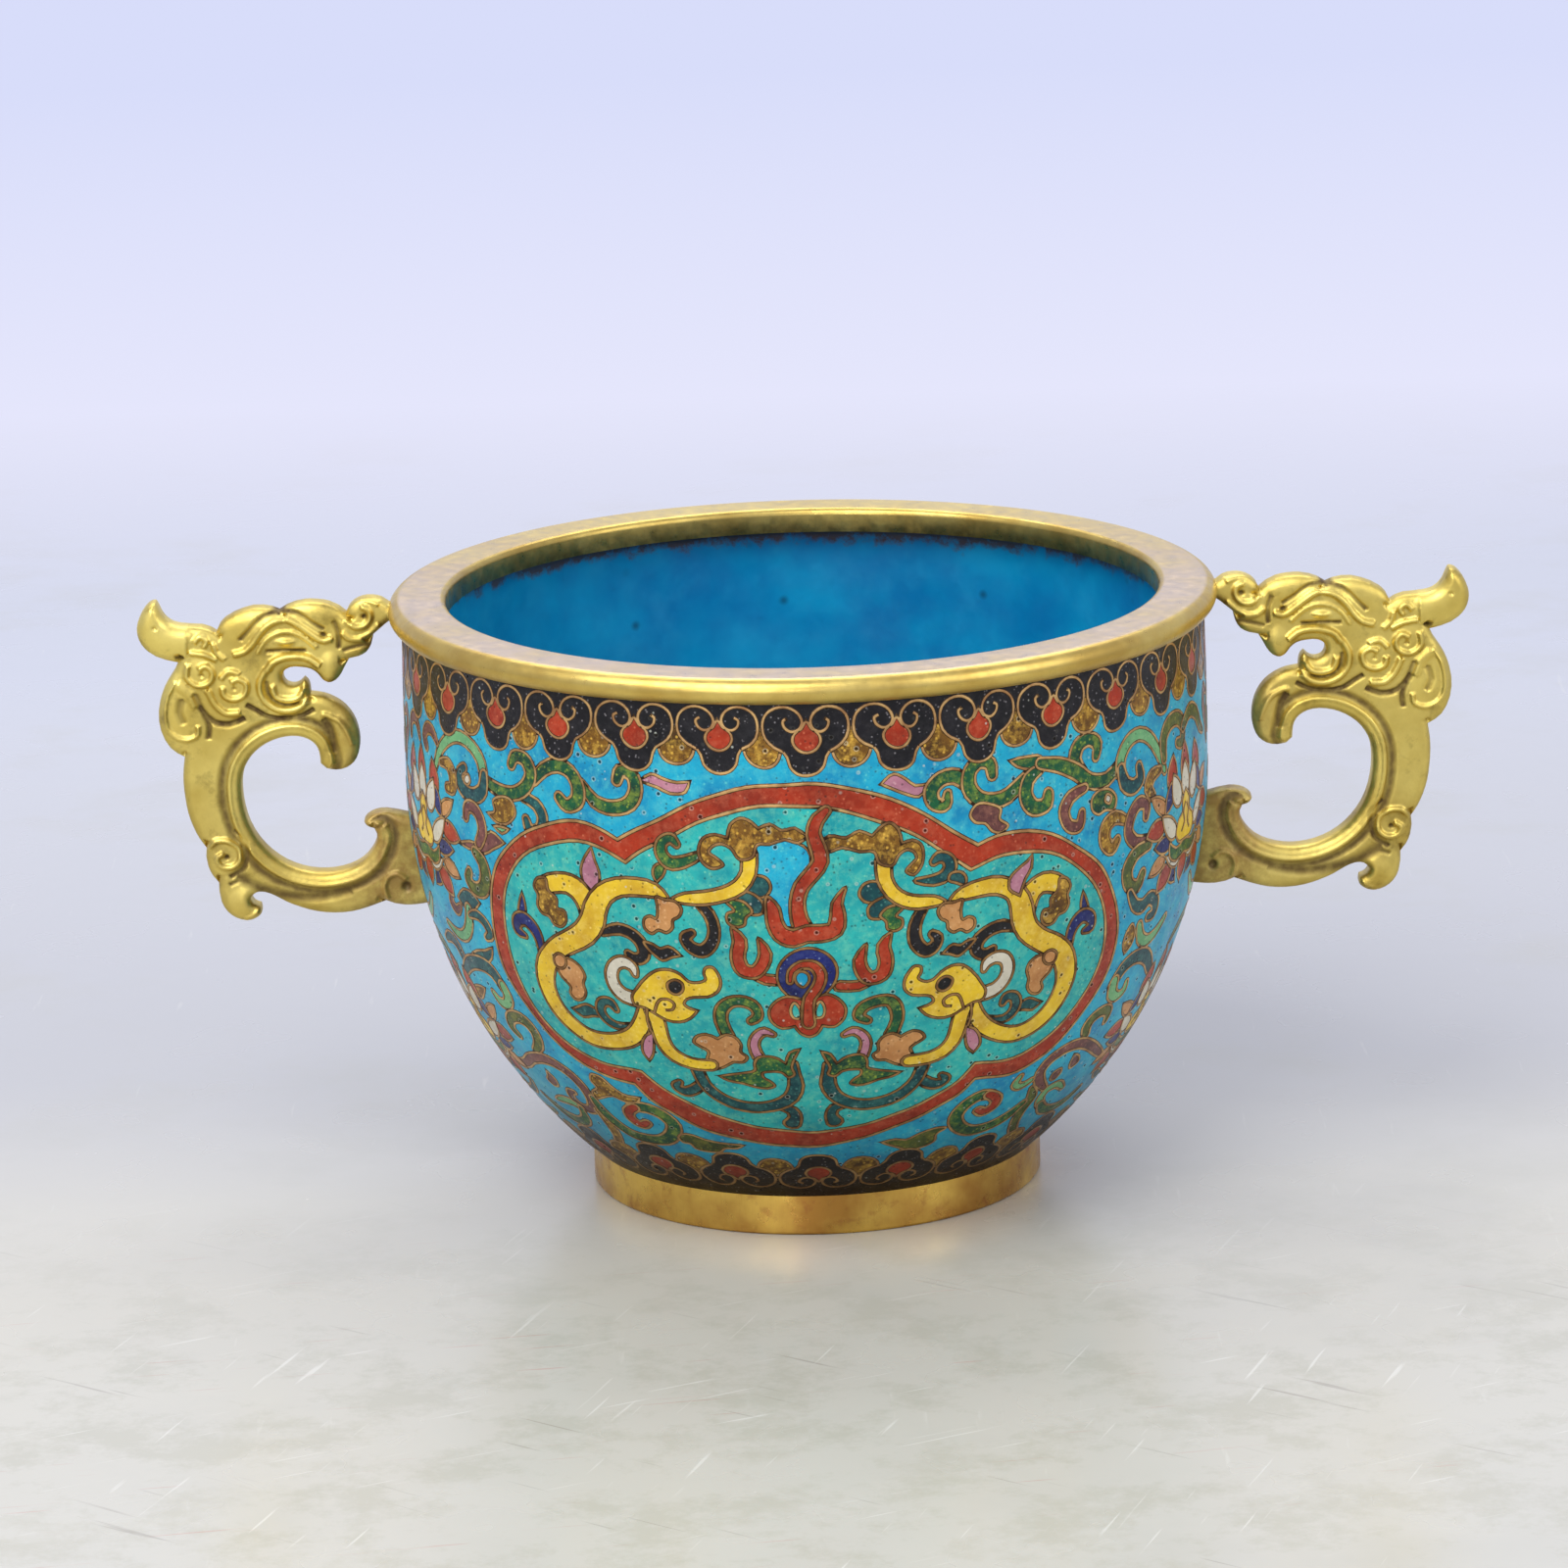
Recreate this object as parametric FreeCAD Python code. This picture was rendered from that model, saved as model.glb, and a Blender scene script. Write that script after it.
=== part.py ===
import FreeCAD, Part
import math
import os

Vector = FreeCAD.Vector

# Two-handled enamelled cup. Millimetres, +Z up, origin at the centre of the foot's rest face,
# the handles along X, the front towards -Y.

# Driving dimensions of the bowl
CUP_HEIGHT = 81.0
BELLY_RADIUS = 53.5
BELLY_HEIGHT = 57.0
NECK_DRAW_IN = 0.3
FLOOR_KNUCKLE = 10.0
OUTER_ENAMEL = 1.0
COPPER = 1.2
INNER_ENAMEL = 0.8

# Rim ring and foot ring
RIM_DEPTH = 3.3
RIM_OVERHANG = 1.8
RIM_WIDTH = 7.7
RIM_ROUND = 1.4
RIM_TUCK = 0.7
RIM_INNER_ROUND = 0.4
GROOVE_DEPTH = 1.5
GROOVE_CLEARANCE = 0.05
FOOT_RADIUS = 30.2
FOOT_HEIGHT = 5.4
FOOT_WIDTH = 2.8
FOOT_ROUND = 0.5

# Handles
HANDLE_REACH = 34.0
HANDLE_HEIGHT = 45.0
HANDLE_DROP = 44.0
HANDLE_THICKNESS = 5.0
HANDLE_RELIEF = 0.35
RIM_TANG_RADIUS = 0.8
RIM_TANG_DEPTH = 2.2
WALL_TANG_RADIUS = 1.2
TANG_CLEARANCE = 0.05

# Wires and the bands of the pattern
WIRE = 0.35
UPPER_LAPPETS = 30
UPPER_BORDER_DROP = 9.0
LOWER_LAPPETS = 20
LOWER_BORDER_RISE = 7.2
PANEL_BAND_WIDTH = 3.2
LOTUS_RADIUS = 8.2
LOTUS_TURN_DEGREES = 71.0

# One overrun serves every cut
OVERRUN = 2.0

# Arcs that turn less than this are drawn straight
STRAIGHT_DEGREES = 0.2

# Worked out from the driving dimensions
WALL_TOP = CUP_HEIGHT - RIM_DEPTH
LOWER_ARC = ((BELLY_RADIUS - FOOT_RADIUS) ** 2 + (BELLY_HEIGHT - FOOT_HEIGHT) ** 2) \
    / (2 * (BELLY_RADIUS - FOOT_RADIUS))
UPPER_ARC = ((WALL_TOP - BELLY_HEIGHT) ** 2 + NECK_DRAW_IN ** 2) / (2 * NECK_DRAW_IN)
RIM_RADIUS = BELLY_RADIUS - NECK_DRAW_IN + RIM_OVERHANG
MOUTH_RADIUS = RIM_RADIUS - RIM_WIDTH
COPPER_DEPTH = OUTER_ENAMEL + COPPER
LINING_DEPTH = COPPER_DEPTH + INNER_ENAMEL
HANDLE_BASE = CUP_HEIGHT - HANDLE_DROP
WALL_HEIGHT = WALL_TOP - FOOT_HEIGHT
UPPER_ZONE = WALL_TOP - UPPER_BORDER_DROP - WIRE
LOWER_ZONE = FOOT_HEIGHT + LOWER_BORDER_RISE + WIRE

# Handle outline, as shares of its reach outwards from the rim and of its height, one row for
# each smooth stretch between two corners. It is closed inside the bowl, where the wall cuts it.
HANDLE_OUTLINE_SHARES = [
    # nose scroll beside the rim
    [(-0.100, 0.935), (-0.003, 0.955), (0.025, 0.970), (0.063, 0.976), (0.102, 0.974),
     (0.133, 0.964), (0.154, 0.948), (0.166, 0.930)],
    # the two domes of the forehead
    [(0.166, 0.930), (0.193, 0.947), (0.231, 0.961), (0.280, 0.968), (0.326, 0.969),
     (0.364, 0.964), (0.396, 0.955), (0.426, 0.941)],
    [(0.426, 0.941), (0.455, 0.950), (0.490, 0.955), (0.529, 0.955), (0.567, 0.948),
     (0.602, 0.938), (0.637, 0.923), (0.662, 0.904), (0.676, 0.882)],
    # horn, up to its tip and back
    [(0.676, 0.882), (0.700, 0.893), (0.732, 0.901), (0.770, 0.903), (0.812, 0.906),
     (0.844, 0.913), (0.868, 0.926), (0.886, 0.944), (0.898, 0.966)],
    [(0.898, 0.966), (0.908, 0.978), (0.924, 0.977), (0.952, 0.959), (0.973, 0.933),
     (0.984, 0.904), (0.983, 0.880), (0.970, 0.853), (0.945, 0.831), (0.914, 0.815),
     (0.875, 0.804), (0.830, 0.796)],
    # curled mane on the neck
    [(0.830, 0.796), (0.845, 0.771), (0.868, 0.745), (0.892, 0.714), (0.907, 0.681),
     (0.915, 0.650), (0.916, 0.619), (0.910, 0.589), (0.896, 0.560), (0.877, 0.537),
     (0.851, 0.520), (0.822, 0.508)],
    # back, small scroll and lower claw
    [(0.822, 0.508), (0.829, 0.472), (0.832, 0.430), (0.828, 0.383), (0.819, 0.335),
     (0.803, 0.295), (0.781, 0.258), (0.754, 0.228)],
    [(0.754, 0.228), (0.757, 0.200), (0.751, 0.171), (0.735, 0.142), (0.712, 0.120)],
    [(0.712, 0.120), (0.712, 0.092), (0.705, 0.060), (0.685, 0.031), (0.651, 0.010),
     (0.606, 0.001), (0.569, 0.008), (0.548, 0.024), (0.550, 0.043)],
    [(0.550, 0.043), (0.576, 0.053), (0.586, 0.070), (0.564, 0.086), (0.532, 0.086),
     (0.490, 0.073), (0.448, 0.055), (0.392, 0.037), (0.329, 0.023), (0.259, 0.017),
     (0.189, 0.020), (0.126, 0.032), (0.077, 0.045), (0.055, 0.051)],
    # pad on the wall, from its underside to the tab above it
    [(0.055, 0.051), (0.021, 0.041), (-0.017, 0.036), (-0.063, 0.036), (-0.120, 0.042)],
    [(-0.120, 0.042), (-0.180, 0.160), (-0.150, 0.300)],
    [(-0.150, 0.300), (-0.049, 0.311), (0.000, 0.320), (0.042, 0.325), (0.084, 0.322),
     (0.116, 0.310), (0.129, 0.295), (0.118, 0.283), (0.091, 0.274)],
    # round the finger opening
    [(0.091, 0.274), (0.081, 0.257), (0.086, 0.233), (0.107, 0.204), (0.143, 0.176),
     (0.192, 0.157), (0.252, 0.146), (0.315, 0.145), (0.378, 0.154), (0.441, 0.174),
     (0.497, 0.205), (0.544, 0.246), (0.578, 0.295), (0.597, 0.348), (0.603, 0.400),
     (0.600, 0.440), (0.586, 0.475), (0.560, 0.506), (0.522, 0.532), (0.473, 0.552),
     (0.422, 0.562), (0.371, 0.562), (0.333, 0.552), (0.307, 0.535), (0.294, 0.512),
     (0.290, 0.478)],
    # curled beard
    [(0.290, 0.478), (0.268, 0.463), (0.231, 0.456), (0.189, 0.462), (0.158, 0.479),
     (0.139, 0.507), (0.133, 0.543), (0.139, 0.581), (0.155, 0.615), (0.184, 0.646),
     (0.224, 0.669), (0.266, 0.683), (0.317, 0.690)],
    # lower lip, mouth, upper lip and muzzle
    [(0.317, 0.690), (0.319, 0.710), (0.327, 0.727), (0.339, 0.736)],
    [(0.339, 0.736), (0.355, 0.724), (0.382, 0.717), (0.408, 0.723), (0.422, 0.741),
     (0.417, 0.761), (0.392, 0.772), (0.350, 0.772), (0.310, 0.765), (0.285, 0.750),
     (0.267, 0.732), (0.242, 0.723), (0.216, 0.730), (0.193, 0.750), (0.175, 0.775),
     (0.160, 0.794)],
    [(0.160, 0.794), (0.123, 0.800), (0.091, 0.813), (0.071, 0.837), (0.061, 0.866)],
    # throat, back to the rim
    [(0.061, 0.866), (0.032, 0.884), (-0.003, 0.905), (-0.100, 0.915)],
    [(-0.100, 0.915), (-0.102, 0.925), (-0.100, 0.935)],
]
# Raised ridges on both faces of the handle: width as a share of the reach, then the line
HANDLE_RIDGE_SHARES = [
    # band round the finger opening
    (0.048, [(0.306, 0.557), (0.370, 0.581), (0.448, 0.576), (0.527, 0.546), (0.590, 0.487),
             (0.620, 0.405), (0.607, 0.331), (0.564, 0.257), (0.487, 0.198), (0.399, 0.157),
             (0.301, 0.133), (0.203, 0.139), (0.120, 0.168), (0.074, 0.216), (0.061, 0.264)]),
    # brow and eye
    (0.028, [(0.272, 0.853), (0.331, 0.879), (0.389, 0.914), (0.438, 0.916), (0.487, 0.898),
             (0.536, 0.861), (0.576, 0.827), (0.610, 0.816)]),
    (0.028, [(0.365, 0.850), (0.409, 0.861), (0.453, 0.848)]),
    # lip round the mouth
    (0.030, [(0.282, 0.794), (0.331, 0.805), (0.389, 0.805), (0.448, 0.794), (0.487, 0.768),
             (0.497, 0.724), (0.485, 0.685), (0.448, 0.655), (0.394, 0.646), (0.345, 0.667)]),
    # nose scroll
    (0.028, [(0.030, 0.880), (0.060, 0.864), (0.105, 0.863), (0.147, 0.880), (0.153, 0.914),
             (0.125, 0.942), (0.085, 0.946), (0.066, 0.929), (0.085, 0.909)]),
    # cheek curls
    (0.026, [(0.581, 0.724), (0.595, 0.696), (0.632, 0.683), (0.664, 0.701), (0.660, 0.733),
             (0.630, 0.746), (0.606, 0.738)]),
    (0.028, [(0.693, 0.757), (0.723, 0.737), (0.768, 0.737), (0.798, 0.761), (0.789, 0.796),
             (0.752, 0.811), (0.715, 0.801)]),
    # mane curl, back scroll and beard
    (0.028, [(0.747, 0.576), (0.772, 0.594), (0.816, 0.576), (0.857, 0.586), (0.878, 0.615),
             (0.870, 0.664), (0.850, 0.705)]),
    (0.028, [(0.637, 0.213), (0.650, 0.240), (0.690, 0.251), (0.728, 0.238), (0.733, 0.208),
             (0.708, 0.187), (0.682, 0.200)]),
    (0.030, [(0.330, 0.617), (0.272, 0.589), (0.238, 0.545), (0.236, 0.500), (0.262, 0.482)]),
]

# Tangs, as shares of the handle's height, and how far they reach into it
RIM_TANG_HEIGHT_SHARE = 0.942
WALL_TANG_HEIGHT_SHARES = (0.105, 0.235)
HANDLE_ROOT_SHARE = 0.05

# Cusped panel, right half, as shares of its reach sideways and of its height from its foot up.
PANEL_REACH_SHARE = 0.748
PANEL_FOOT_SHARE = 0.133
PANEL_HEIGHT_SHARE = 0.726
PANEL_OUTLINE_SHARES = [
    [(0.000, 1.000), (0.150, 0.994), (0.298, 0.968), (0.442, 0.914), (0.548, 0.812)],
    [(0.548, 0.812), (0.670, 0.816), (0.775, 0.796), (0.890, 0.735), (0.970, 0.630),
     (1.000, 0.520), (0.975, 0.425), (0.895, 0.316), (0.780, 0.228), (0.658, 0.188),
     (0.550, 0.184)],
    [(0.550, 0.184), (0.433, 0.112), (0.285, 0.046), (0.148, 0.010), (0.000, 0.000)],
]

# Motifs of the right half of a panel, in the same shares: strokes with their widths
DRAGON_BODY_SHARES = [
    (0.470, 0.414), (0.501, 0.345), (0.601, 0.297), (0.735, 0.303), (0.826, 0.380),
    (0.843, 0.475), (0.768, 0.548), (0.716, 0.612), (0.666, 0.680), (0.556, 0.718),
    (0.400, 0.725), (0.285, 0.745), (0.245, 0.791), (0.225, 0.840),
]
DRAGON_BRANCH_SHARES = [(0.690, 0.645), (0.745, 0.705), (0.810, 0.712), (0.850, 0.680)]
DRAGON_LEG_SHARES = [(0.490, 0.370), (0.440, 0.300), (0.340, 0.270), (0.250, 0.297)]
DRAGON_HEAD_SHARES = [
    (0.292, 0.498), (0.318, 0.522), (0.360, 0.508), (0.415, 0.515), (0.475, 0.533),
    (0.540, 0.505), (0.552, 0.455), (0.515, 0.405), (0.450, 0.388), (0.385, 0.402),
    (0.395, 0.435), (0.340, 0.452),
]
DRAGON_BODY_WIDTH_SHARE = 0.062
DRAGON_LIMB_WIDTH_SHARE = 0.045
PEARL_HEIGHT_SHARE = 0.520
PEARL_RADIUS_SHARE = 0.095
FLAME_TOP_SHARES = [
    (0.037, 0.905), (0.002, 0.848), (0.025, 0.772), (-0.020, 0.710), (0.000, 0.650),
]
FLAME_CUP_SHARES = [
    (-0.100, 0.715), (-0.092, 0.660), (0.000, 0.628), (0.092, 0.660), (0.100, 0.715),
]
FLAME_SIDE_SHARES = [(0.225, 0.600), (0.235, 0.545), (0.195, 0.500), (0.140, 0.487)]
FLAME_KNOT_SHARES = [
    (0.000, 0.415), (0.060, 0.425), (0.110, 0.400), (0.095, 0.360), (0.000, 0.348),
    (-0.095, 0.360), (-0.110, 0.400), (-0.060, 0.425),
]
FLAME_WIDTH_SHARE = 0.040

# Hanging lappet of the upper border: right half, as shares of its pitch and of its drop
UPPER_LAPPET_SHARES = [
    [(0.000, 1.000), (0.238, 0.925), (0.320, 0.730)],
    [(0.320, 0.730), (0.427, 0.650), (0.415, 0.520)],
    [(0.415, 0.520), (0.462, 0.488), (0.500, 0.440)],
]
UPPER_DROP_SHARES = [
    [(0.000, 0.250), (0.062, 0.355), (0.155, 0.430)],
    [(0.155, 0.430), (0.120, 0.610), (0.000, 0.665)],
]
UPPER_LOBE_SHARES = [
    [(0.000, 0.900), (0.175, 0.830), (0.240, 0.660), (0.175, 0.470), (0.000, 0.380)],
]

# Standing lappet of the lower border: right half, as shares of its pitch and of its rise
LOWER_LAPPET_SHARES = [
    [(0.000, 1.000), (0.215, 0.915), (0.290, 0.700)],
    [(0.290, 0.700), (0.420, 0.600), (0.425, 0.430)],
    [(0.425, 0.430), (0.463, 0.415), (0.500, 0.400)],
]
LOWER_DROP_SHARES = [
    [(0.000, 0.300), (0.060, 0.420), (0.150, 0.500)],
    [(0.150, 0.500), (0.115, 0.670), (0.000, 0.725)],
]
LOWER_LOBE_SHARES = [
    [(0.000, 0.860), (0.170, 0.790), (0.235, 0.630), (0.170, 0.420), (0.000, 0.330)],
]

# Lotus flower and vine scrolls: places on the wall as shares of its height
LOTUS_HEIGHT_SHARE = 0.695
LOTUS_PETALS = 8
PETAL_POINTS = 4
LOTUS_WAIST_SHARE = 0.72
LOTUS_HEART_SHARE = 0.36
VINE_WIDTH_SHARE = 0.034
VINE_TURN_DEGREES = 56.0
VINE_SHARES = [
    [(0.140, 0.060), (0.230, 0.110), (0.215, 0.180), (0.130, 0.190), (0.110, 0.140)],
    [(-0.020, -0.190), (0.010, -0.260), (-0.060, -0.330), (-0.140, -0.280), (-0.110, -0.220)],
    [(0.110, -0.420), (0.010, -0.480), (-0.060, -0.430), (-0.030, -0.370), (0.030, -0.390)],
]


# Curves in the front view: points become a chain of arcs that meet with one tangent

def at(x, z):
    return Vector(x, 0, z)


def turn_left(v):
    return Vector(-v.z, 0, v.x)


def circle_tangents(a, b, c):
    """Tangents at a, b and c of the circle through them."""
    ab = b - a
    bc = c - b
    mix = ab.Length + bc.Length
    at_b = (ab / ab.Length * bc.Length + bc / bc.Length * ab.Length) / mix
    at_b.normalize()
    u = ab / ab.Length
    w = bc / bc.Length
    at_a = u * (2 * u.dot(at_b)) - at_b
    at_c = w * (2 * w.dot(at_b)) - at_b
    return at_a, at_b, at_c


def arc_from(start, tangent, end):
    """Arc from start, leaving along tangent, to end."""
    chord = end - start
    side = turn_left(chord / chord.Length)
    angle = math.atan2(tangent.dot(side), tangent.dot(chord) / chord.Length)
    if abs(angle) < math.radians(STRAIGHT_DEGREES):
        return Part.LineSegment(start, end).toShape()
    sagitta = chord.Length / 2 * math.tan(angle / 2)
    return Part.Arc(start, (start + end) / 2 + side * sagitta, end).toShape()


def biarc(p, tp, q, tq):
    """Two arcs from p to q that follow both tangents."""
    v = q - p
    both = tp + tq
    spread = 2 * (1 - tp.dot(tq))
    if spread < 1e-6:
        reach = v.dot(v) / (4 * v.dot(tq))
    else:
        reach = (math.sqrt(v.dot(both) ** 2 + spread * v.dot(v)) - v.dot(both)) / spread
    joint = (p + tp * reach + q - tq * reach) / 2
    return [arc_from(p, tp, joint), arc_from(q, tq * -1, joint)]


def smooth_edges(points, closed=False):
    """Chain of arcs through the points, in order; three points are one arc."""
    if len(points) == 3:
        return [Part.Arc(*points).toShape()]
    if closed:
        ring = [points[-1]] + points + [points[0], points[1]]
        triples = [circle_tangents(*ring[i:i + 3]) for i in range(len(points) + 1)]
        tangents = [t[1] for t in triples]
        stops = points + [points[0]]
    else:
        triples = [circle_tangents(*points[i:i + 3]) for i in range(len(points) - 2)]
        tangents = [triples[0][0]] + [t[1] for t in triples] + [triples[-1][2]]
        stops = points
    edges = []
    for i in range(len(stops) - 1):
        edges += biarc(stops[i], tangents[i], stops[i + 1], tangents[i + 1])
    return edges


def face_of(edges):
    wire = Part.Wire(Part.__sortEdges__(edges))
    return Part.Face(wire)


def outline_face(stretches):
    """Face inside stretches that meet at corners."""
    edges = []
    for points in stretches:
        edges += smooth_edges(points)
    return face_of(edges)


def closed_face(points):
    return face_of(smooth_edges(points, closed=True))


def mirrored(stretches):
    """A right half, given from its middle to its middle, and its mirror image."""
    left = [[at(-p.x, p.z) for p in reversed(points)] for points in reversed(stretches)]
    return stretches + left


def stroke_face(points, width):
    """Band of one width with round ends along a smooth line."""
    line = Part.Wire(Part.__sortEdges__(smooth_edges(points)))
    return Part.Face(line.makeOffset2D(width / 2, 0, False, False, False))


def grown(face, amount):
    return Part.Face(face.OuterWire.makeOffset2D(amount, 0, False, False, False))


def joined(shapes):
    """Union, without the seams on shared faces."""
    if len(shapes) == 1:
        return shapes[0]
    return shapes[0].fuse(shapes[1:]).removeSplitter()


# Bowl shells

def wall_radius(depth, z):
    """Radius of the wall at height z, depth below the outer surface."""
    if z >= BELLY_HEIGHT:
        arc = UPPER_ARC - depth
        return BELLY_RADIUS - UPPER_ARC + math.sqrt(arc ** 2 - (z - BELLY_HEIGHT) ** 2)
    arc = LOWER_ARC - depth
    return BELLY_RADIUS - LOWER_ARC + math.sqrt(arc ** 2 - (z - BELLY_HEIGHT) ** 2)


def bowl_solid(depth, top):
    """Solid of revolution inside the surface that lies depth below the outer one."""
    foot_angle = math.acos((FOOT_RADIUS - BELLY_RADIUS + LOWER_ARC) / LOWER_ARC)
    centre = at(BELLY_RADIUS - LOWER_ARC, BELLY_HEIGHT)

    def on_lower(angle, radius):
        return centre + at(radius * math.cos(angle), -radius * math.sin(angle))

    low_radius = LOWER_ARC - depth
    knee = on_lower(foot_angle, low_radius)
    knuckle_centre = on_lower(foot_angle, LOWER_ARC - FLOOR_KNUCKLE)
    small = FLOOR_KNUCKLE - depth
    half_turn = (foot_angle + math.pi / 2) / 2
    knuckle_middle = knuckle_centre + at(small * math.cos(half_turn), -small * math.sin(half_turn))
    floor_edge = knuckle_centre + at(0, -small)
    floor_middle = at(0, floor_edge.z)
    belly = at(BELLY_RADIUS - depth, BELLY_HEIGHT)
    neck = at(wall_radius(depth, top), top)
    middle_height = (BELLY_HEIGHT + top) / 2
    neck_middle = at(wall_radius(depth, middle_height), middle_height)
    edges = [
        Part.LineSegment(floor_middle, floor_edge).toShape(),
        Part.Arc(floor_edge, knuckle_middle, knee).toShape(),
        Part.Arc(knee, on_lower(foot_angle / 2, low_radius), belly).toShape(),
        Part.Arc(belly, neck_middle, neck).toShape(),
        Part.LineSegment(neck, at(0, top)).toShape(),
        Part.LineSegment(at(0, top), floor_middle).toShape(),
    ]
    return turned(edges)


def turned(edges):
    """Solid of revolution about Z."""
    return face_of(edges).revolve(Vector(0, 0, 0), Vector(0, 0, 1), 360)


def shell(outer_depth, inner_depth, top):
    return bowl_solid(outer_depth, top).cut(bowl_solid(inner_depth, top + OVERRUN))


def cylinder_z(radius, low, high):
    return Part.makeCylinder(radius, high - low, Vector(0, 0, low))


# Rings

def rim_blank():
    """Rim ring before its groove and tang holes are cut."""
    round_start = at(RIM_RADIUS - RIM_ROUND, CUP_HEIGHT)
    quarter = RIM_ROUND * math.sqrt(0.5)
    round_middle = at(RIM_RADIUS - RIM_ROUND + quarter, CUP_HEIGHT - RIM_ROUND + quarter)
    round_end = at(RIM_RADIUS, CUP_HEIGHT - RIM_ROUND)
    tuck = at(RIM_RADIUS - RIM_TUCK, WALL_TOP)
    tuck_middle = at(RIM_RADIUS - RIM_TUCK / 4, (WALL_TOP + CUP_HEIGHT - RIM_ROUND) / 2)
    mouth_foot = at(MOUTH_RADIUS, WALL_TOP)
    mouth_low = at(MOUTH_RADIUS, CUP_HEIGHT - RIM_INNER_ROUND)
    quarter_in = RIM_INNER_ROUND * (1 - math.sqrt(0.5))
    mouth_middle = at(MOUTH_RADIUS + quarter_in, CUP_HEIGHT - quarter_in)
    mouth_high = at(MOUTH_RADIUS + RIM_INNER_ROUND, CUP_HEIGHT)
    return turned([
        Part.LineSegment(mouth_high, round_start).toShape(),
        Part.Arc(round_start, round_middle, round_end).toShape(),
        Part.Arc(round_end, tuck_middle, tuck).toShape(),
        Part.LineSegment(tuck, mouth_foot).toShape(),
        Part.LineSegment(mouth_foot, mouth_low).toShape(),
        Part.Arc(mouth_low, mouth_middle, mouth_high).toShape(),
    ])


def rim_groove():
    """Space under the rim that the copper edge stands in."""
    groove_top = WALL_TOP + GROOVE_DEPTH
    outside = bowl_solid(OUTER_ENAMEL - GROOVE_CLEARANCE, groove_top)
    inside = bowl_solid(COPPER_DEPTH + GROOVE_CLEARANCE, groove_top + OVERRUN)
    return outside.cut(inside).cut(cylinder_z(BELLY_RADIUS, 0, WALL_TOP))


def foot_ring(copper_outside):
    """Ring under the bowl, its top fitted to the copper."""
    top = BELLY_HEIGHT / 2
    ring = cylinder_z(FOOT_RADIUS, 0, top).cut(
        cylinder_z(FOOT_RADIUS - FOOT_WIDTH, -OVERRUN, top + OVERRUN))
    rest_edges = [e for e in ring.Edges if e.BoundBox.ZMax < FOOT_HEIGHT / 2]
    return ring.makeFillet(FOOT_ROUND, rest_edges).cut(copper_outside)


# Handle

def handle_point(share):
    return at(RIM_RADIUS + HANDLE_REACH * share[0], HANDLE_BASE + HANDLE_HEIGHT * share[1])


def rod_x(radius, low, high, z):
    return Part.makeCylinder(radius, high - low, at(low, z), Vector(1, 0, 0))


def tangs(clearance):
    """Rods inside the rim and the wall that hold the right handle."""
    root = RIM_RADIUS + HANDLE_REACH * HANDLE_ROOT_SHARE
    rim_z = HANDLE_BASE + HANDLE_HEIGHT * RIM_TANG_HEIGHT_SHARE
    rods = [rod_x(RIM_TANG_RADIUS + clearance, RIM_RADIUS - RIM_TANG_DEPTH - clearance, root, rim_z)]
    for share in WALL_TANG_HEIGHT_SHARES:
        z = HANDLE_BASE + HANDLE_HEIGHT * share
        rods.append(rod_x(WALL_TANG_RADIUS + clearance, 0, root, z))
    return rods


def slab(face, thickness):
    """Solid of one thickness, centred on the plane of the handles."""
    moved = face.copy()
    moved.translate(Vector(0, -thickness / 2, 0))
    return moved.extrude(Vector(0, thickness, 0))


def right_handle(rim, cup_outside, copper_inside):
    outline = outline_face([[handle_point(s) for s in row] for row in HANDLE_OUTLINE_SHARES])
    plate = slab(outline, HANDLE_THICKNESS - 2 * HANDLE_RELIEF)
    within = slab(outline, HANDLE_THICKNESS)
    ridges = []
    for width_share, line in HANDLE_RIDGE_SHARES:
        ridge = stroke_face([handle_point(s) for s in line], HANDLE_REACH * width_share)
        ridges.append(slab(ridge, HANDLE_THICKNESS).common(within))
    raised = plate.fuse(ridges).cut([rim, cup_outside])
    raised = max(raised.Solids, key=lambda solid: solid.Volume)
    rods = [rod.cut(copper_inside) for rod in tangs(0)]
    return raised.fuse(rods)


def mirror_x(shape):
    return shape.mirror(Vector(0, 0, 0), Vector(1, 0, 0))


# Cells of the pattern: a face in the front view is pushed through the outer enamel

def pushed(face):
    """Prism from the axis plane out past the front of the bowl."""
    return face.extrude(Vector(0, -BELLY_RADIUS - OVERRUN, 0))


def turned_copies(shape, angles):
    copies = []
    for angle in angles:
        copy = shape.copy()
        copy.rotate(Vector(0, 0, 0), Vector(0, 0, 1), angle)
        copies.append(copy)
    return copies


def wedge(angle):
    """Sector of the full height, centred on the front."""
    half = math.radians(angle / 2)
    reach = (BELLY_RADIUS + OVERRUN) / math.cos(half)
    left = Vector(-reach * math.sin(half), -reach * math.cos(half), -OVERRUN)
    right = Vector(reach * math.sin(half), -reach * math.cos(half), -OVERRUN)
    corner = Vector(0, 0, -OVERRUN)
    face = Part.Face(Part.makePolygon([corner, left, right, corner]))
    return face.extrude(Vector(0, 0, CUP_HEIGHT + 2 * OVERRUN))


class Cell:
    """One enamel cell: its whole place, its wire fence and what is left for enamel."""

    def __init__(self, face, layer, limit=None):
        inside = grown(face, -WIRE)
        self.place = pushed(face).common(layer)
        fill = pushed(inside).common(layer)
        if limit is not None:
            self.place = self.place.common(limit)
            fill = fill.common(limit)
        self.fence = self.place.cut(fill)
        self.fill = fill


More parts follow.
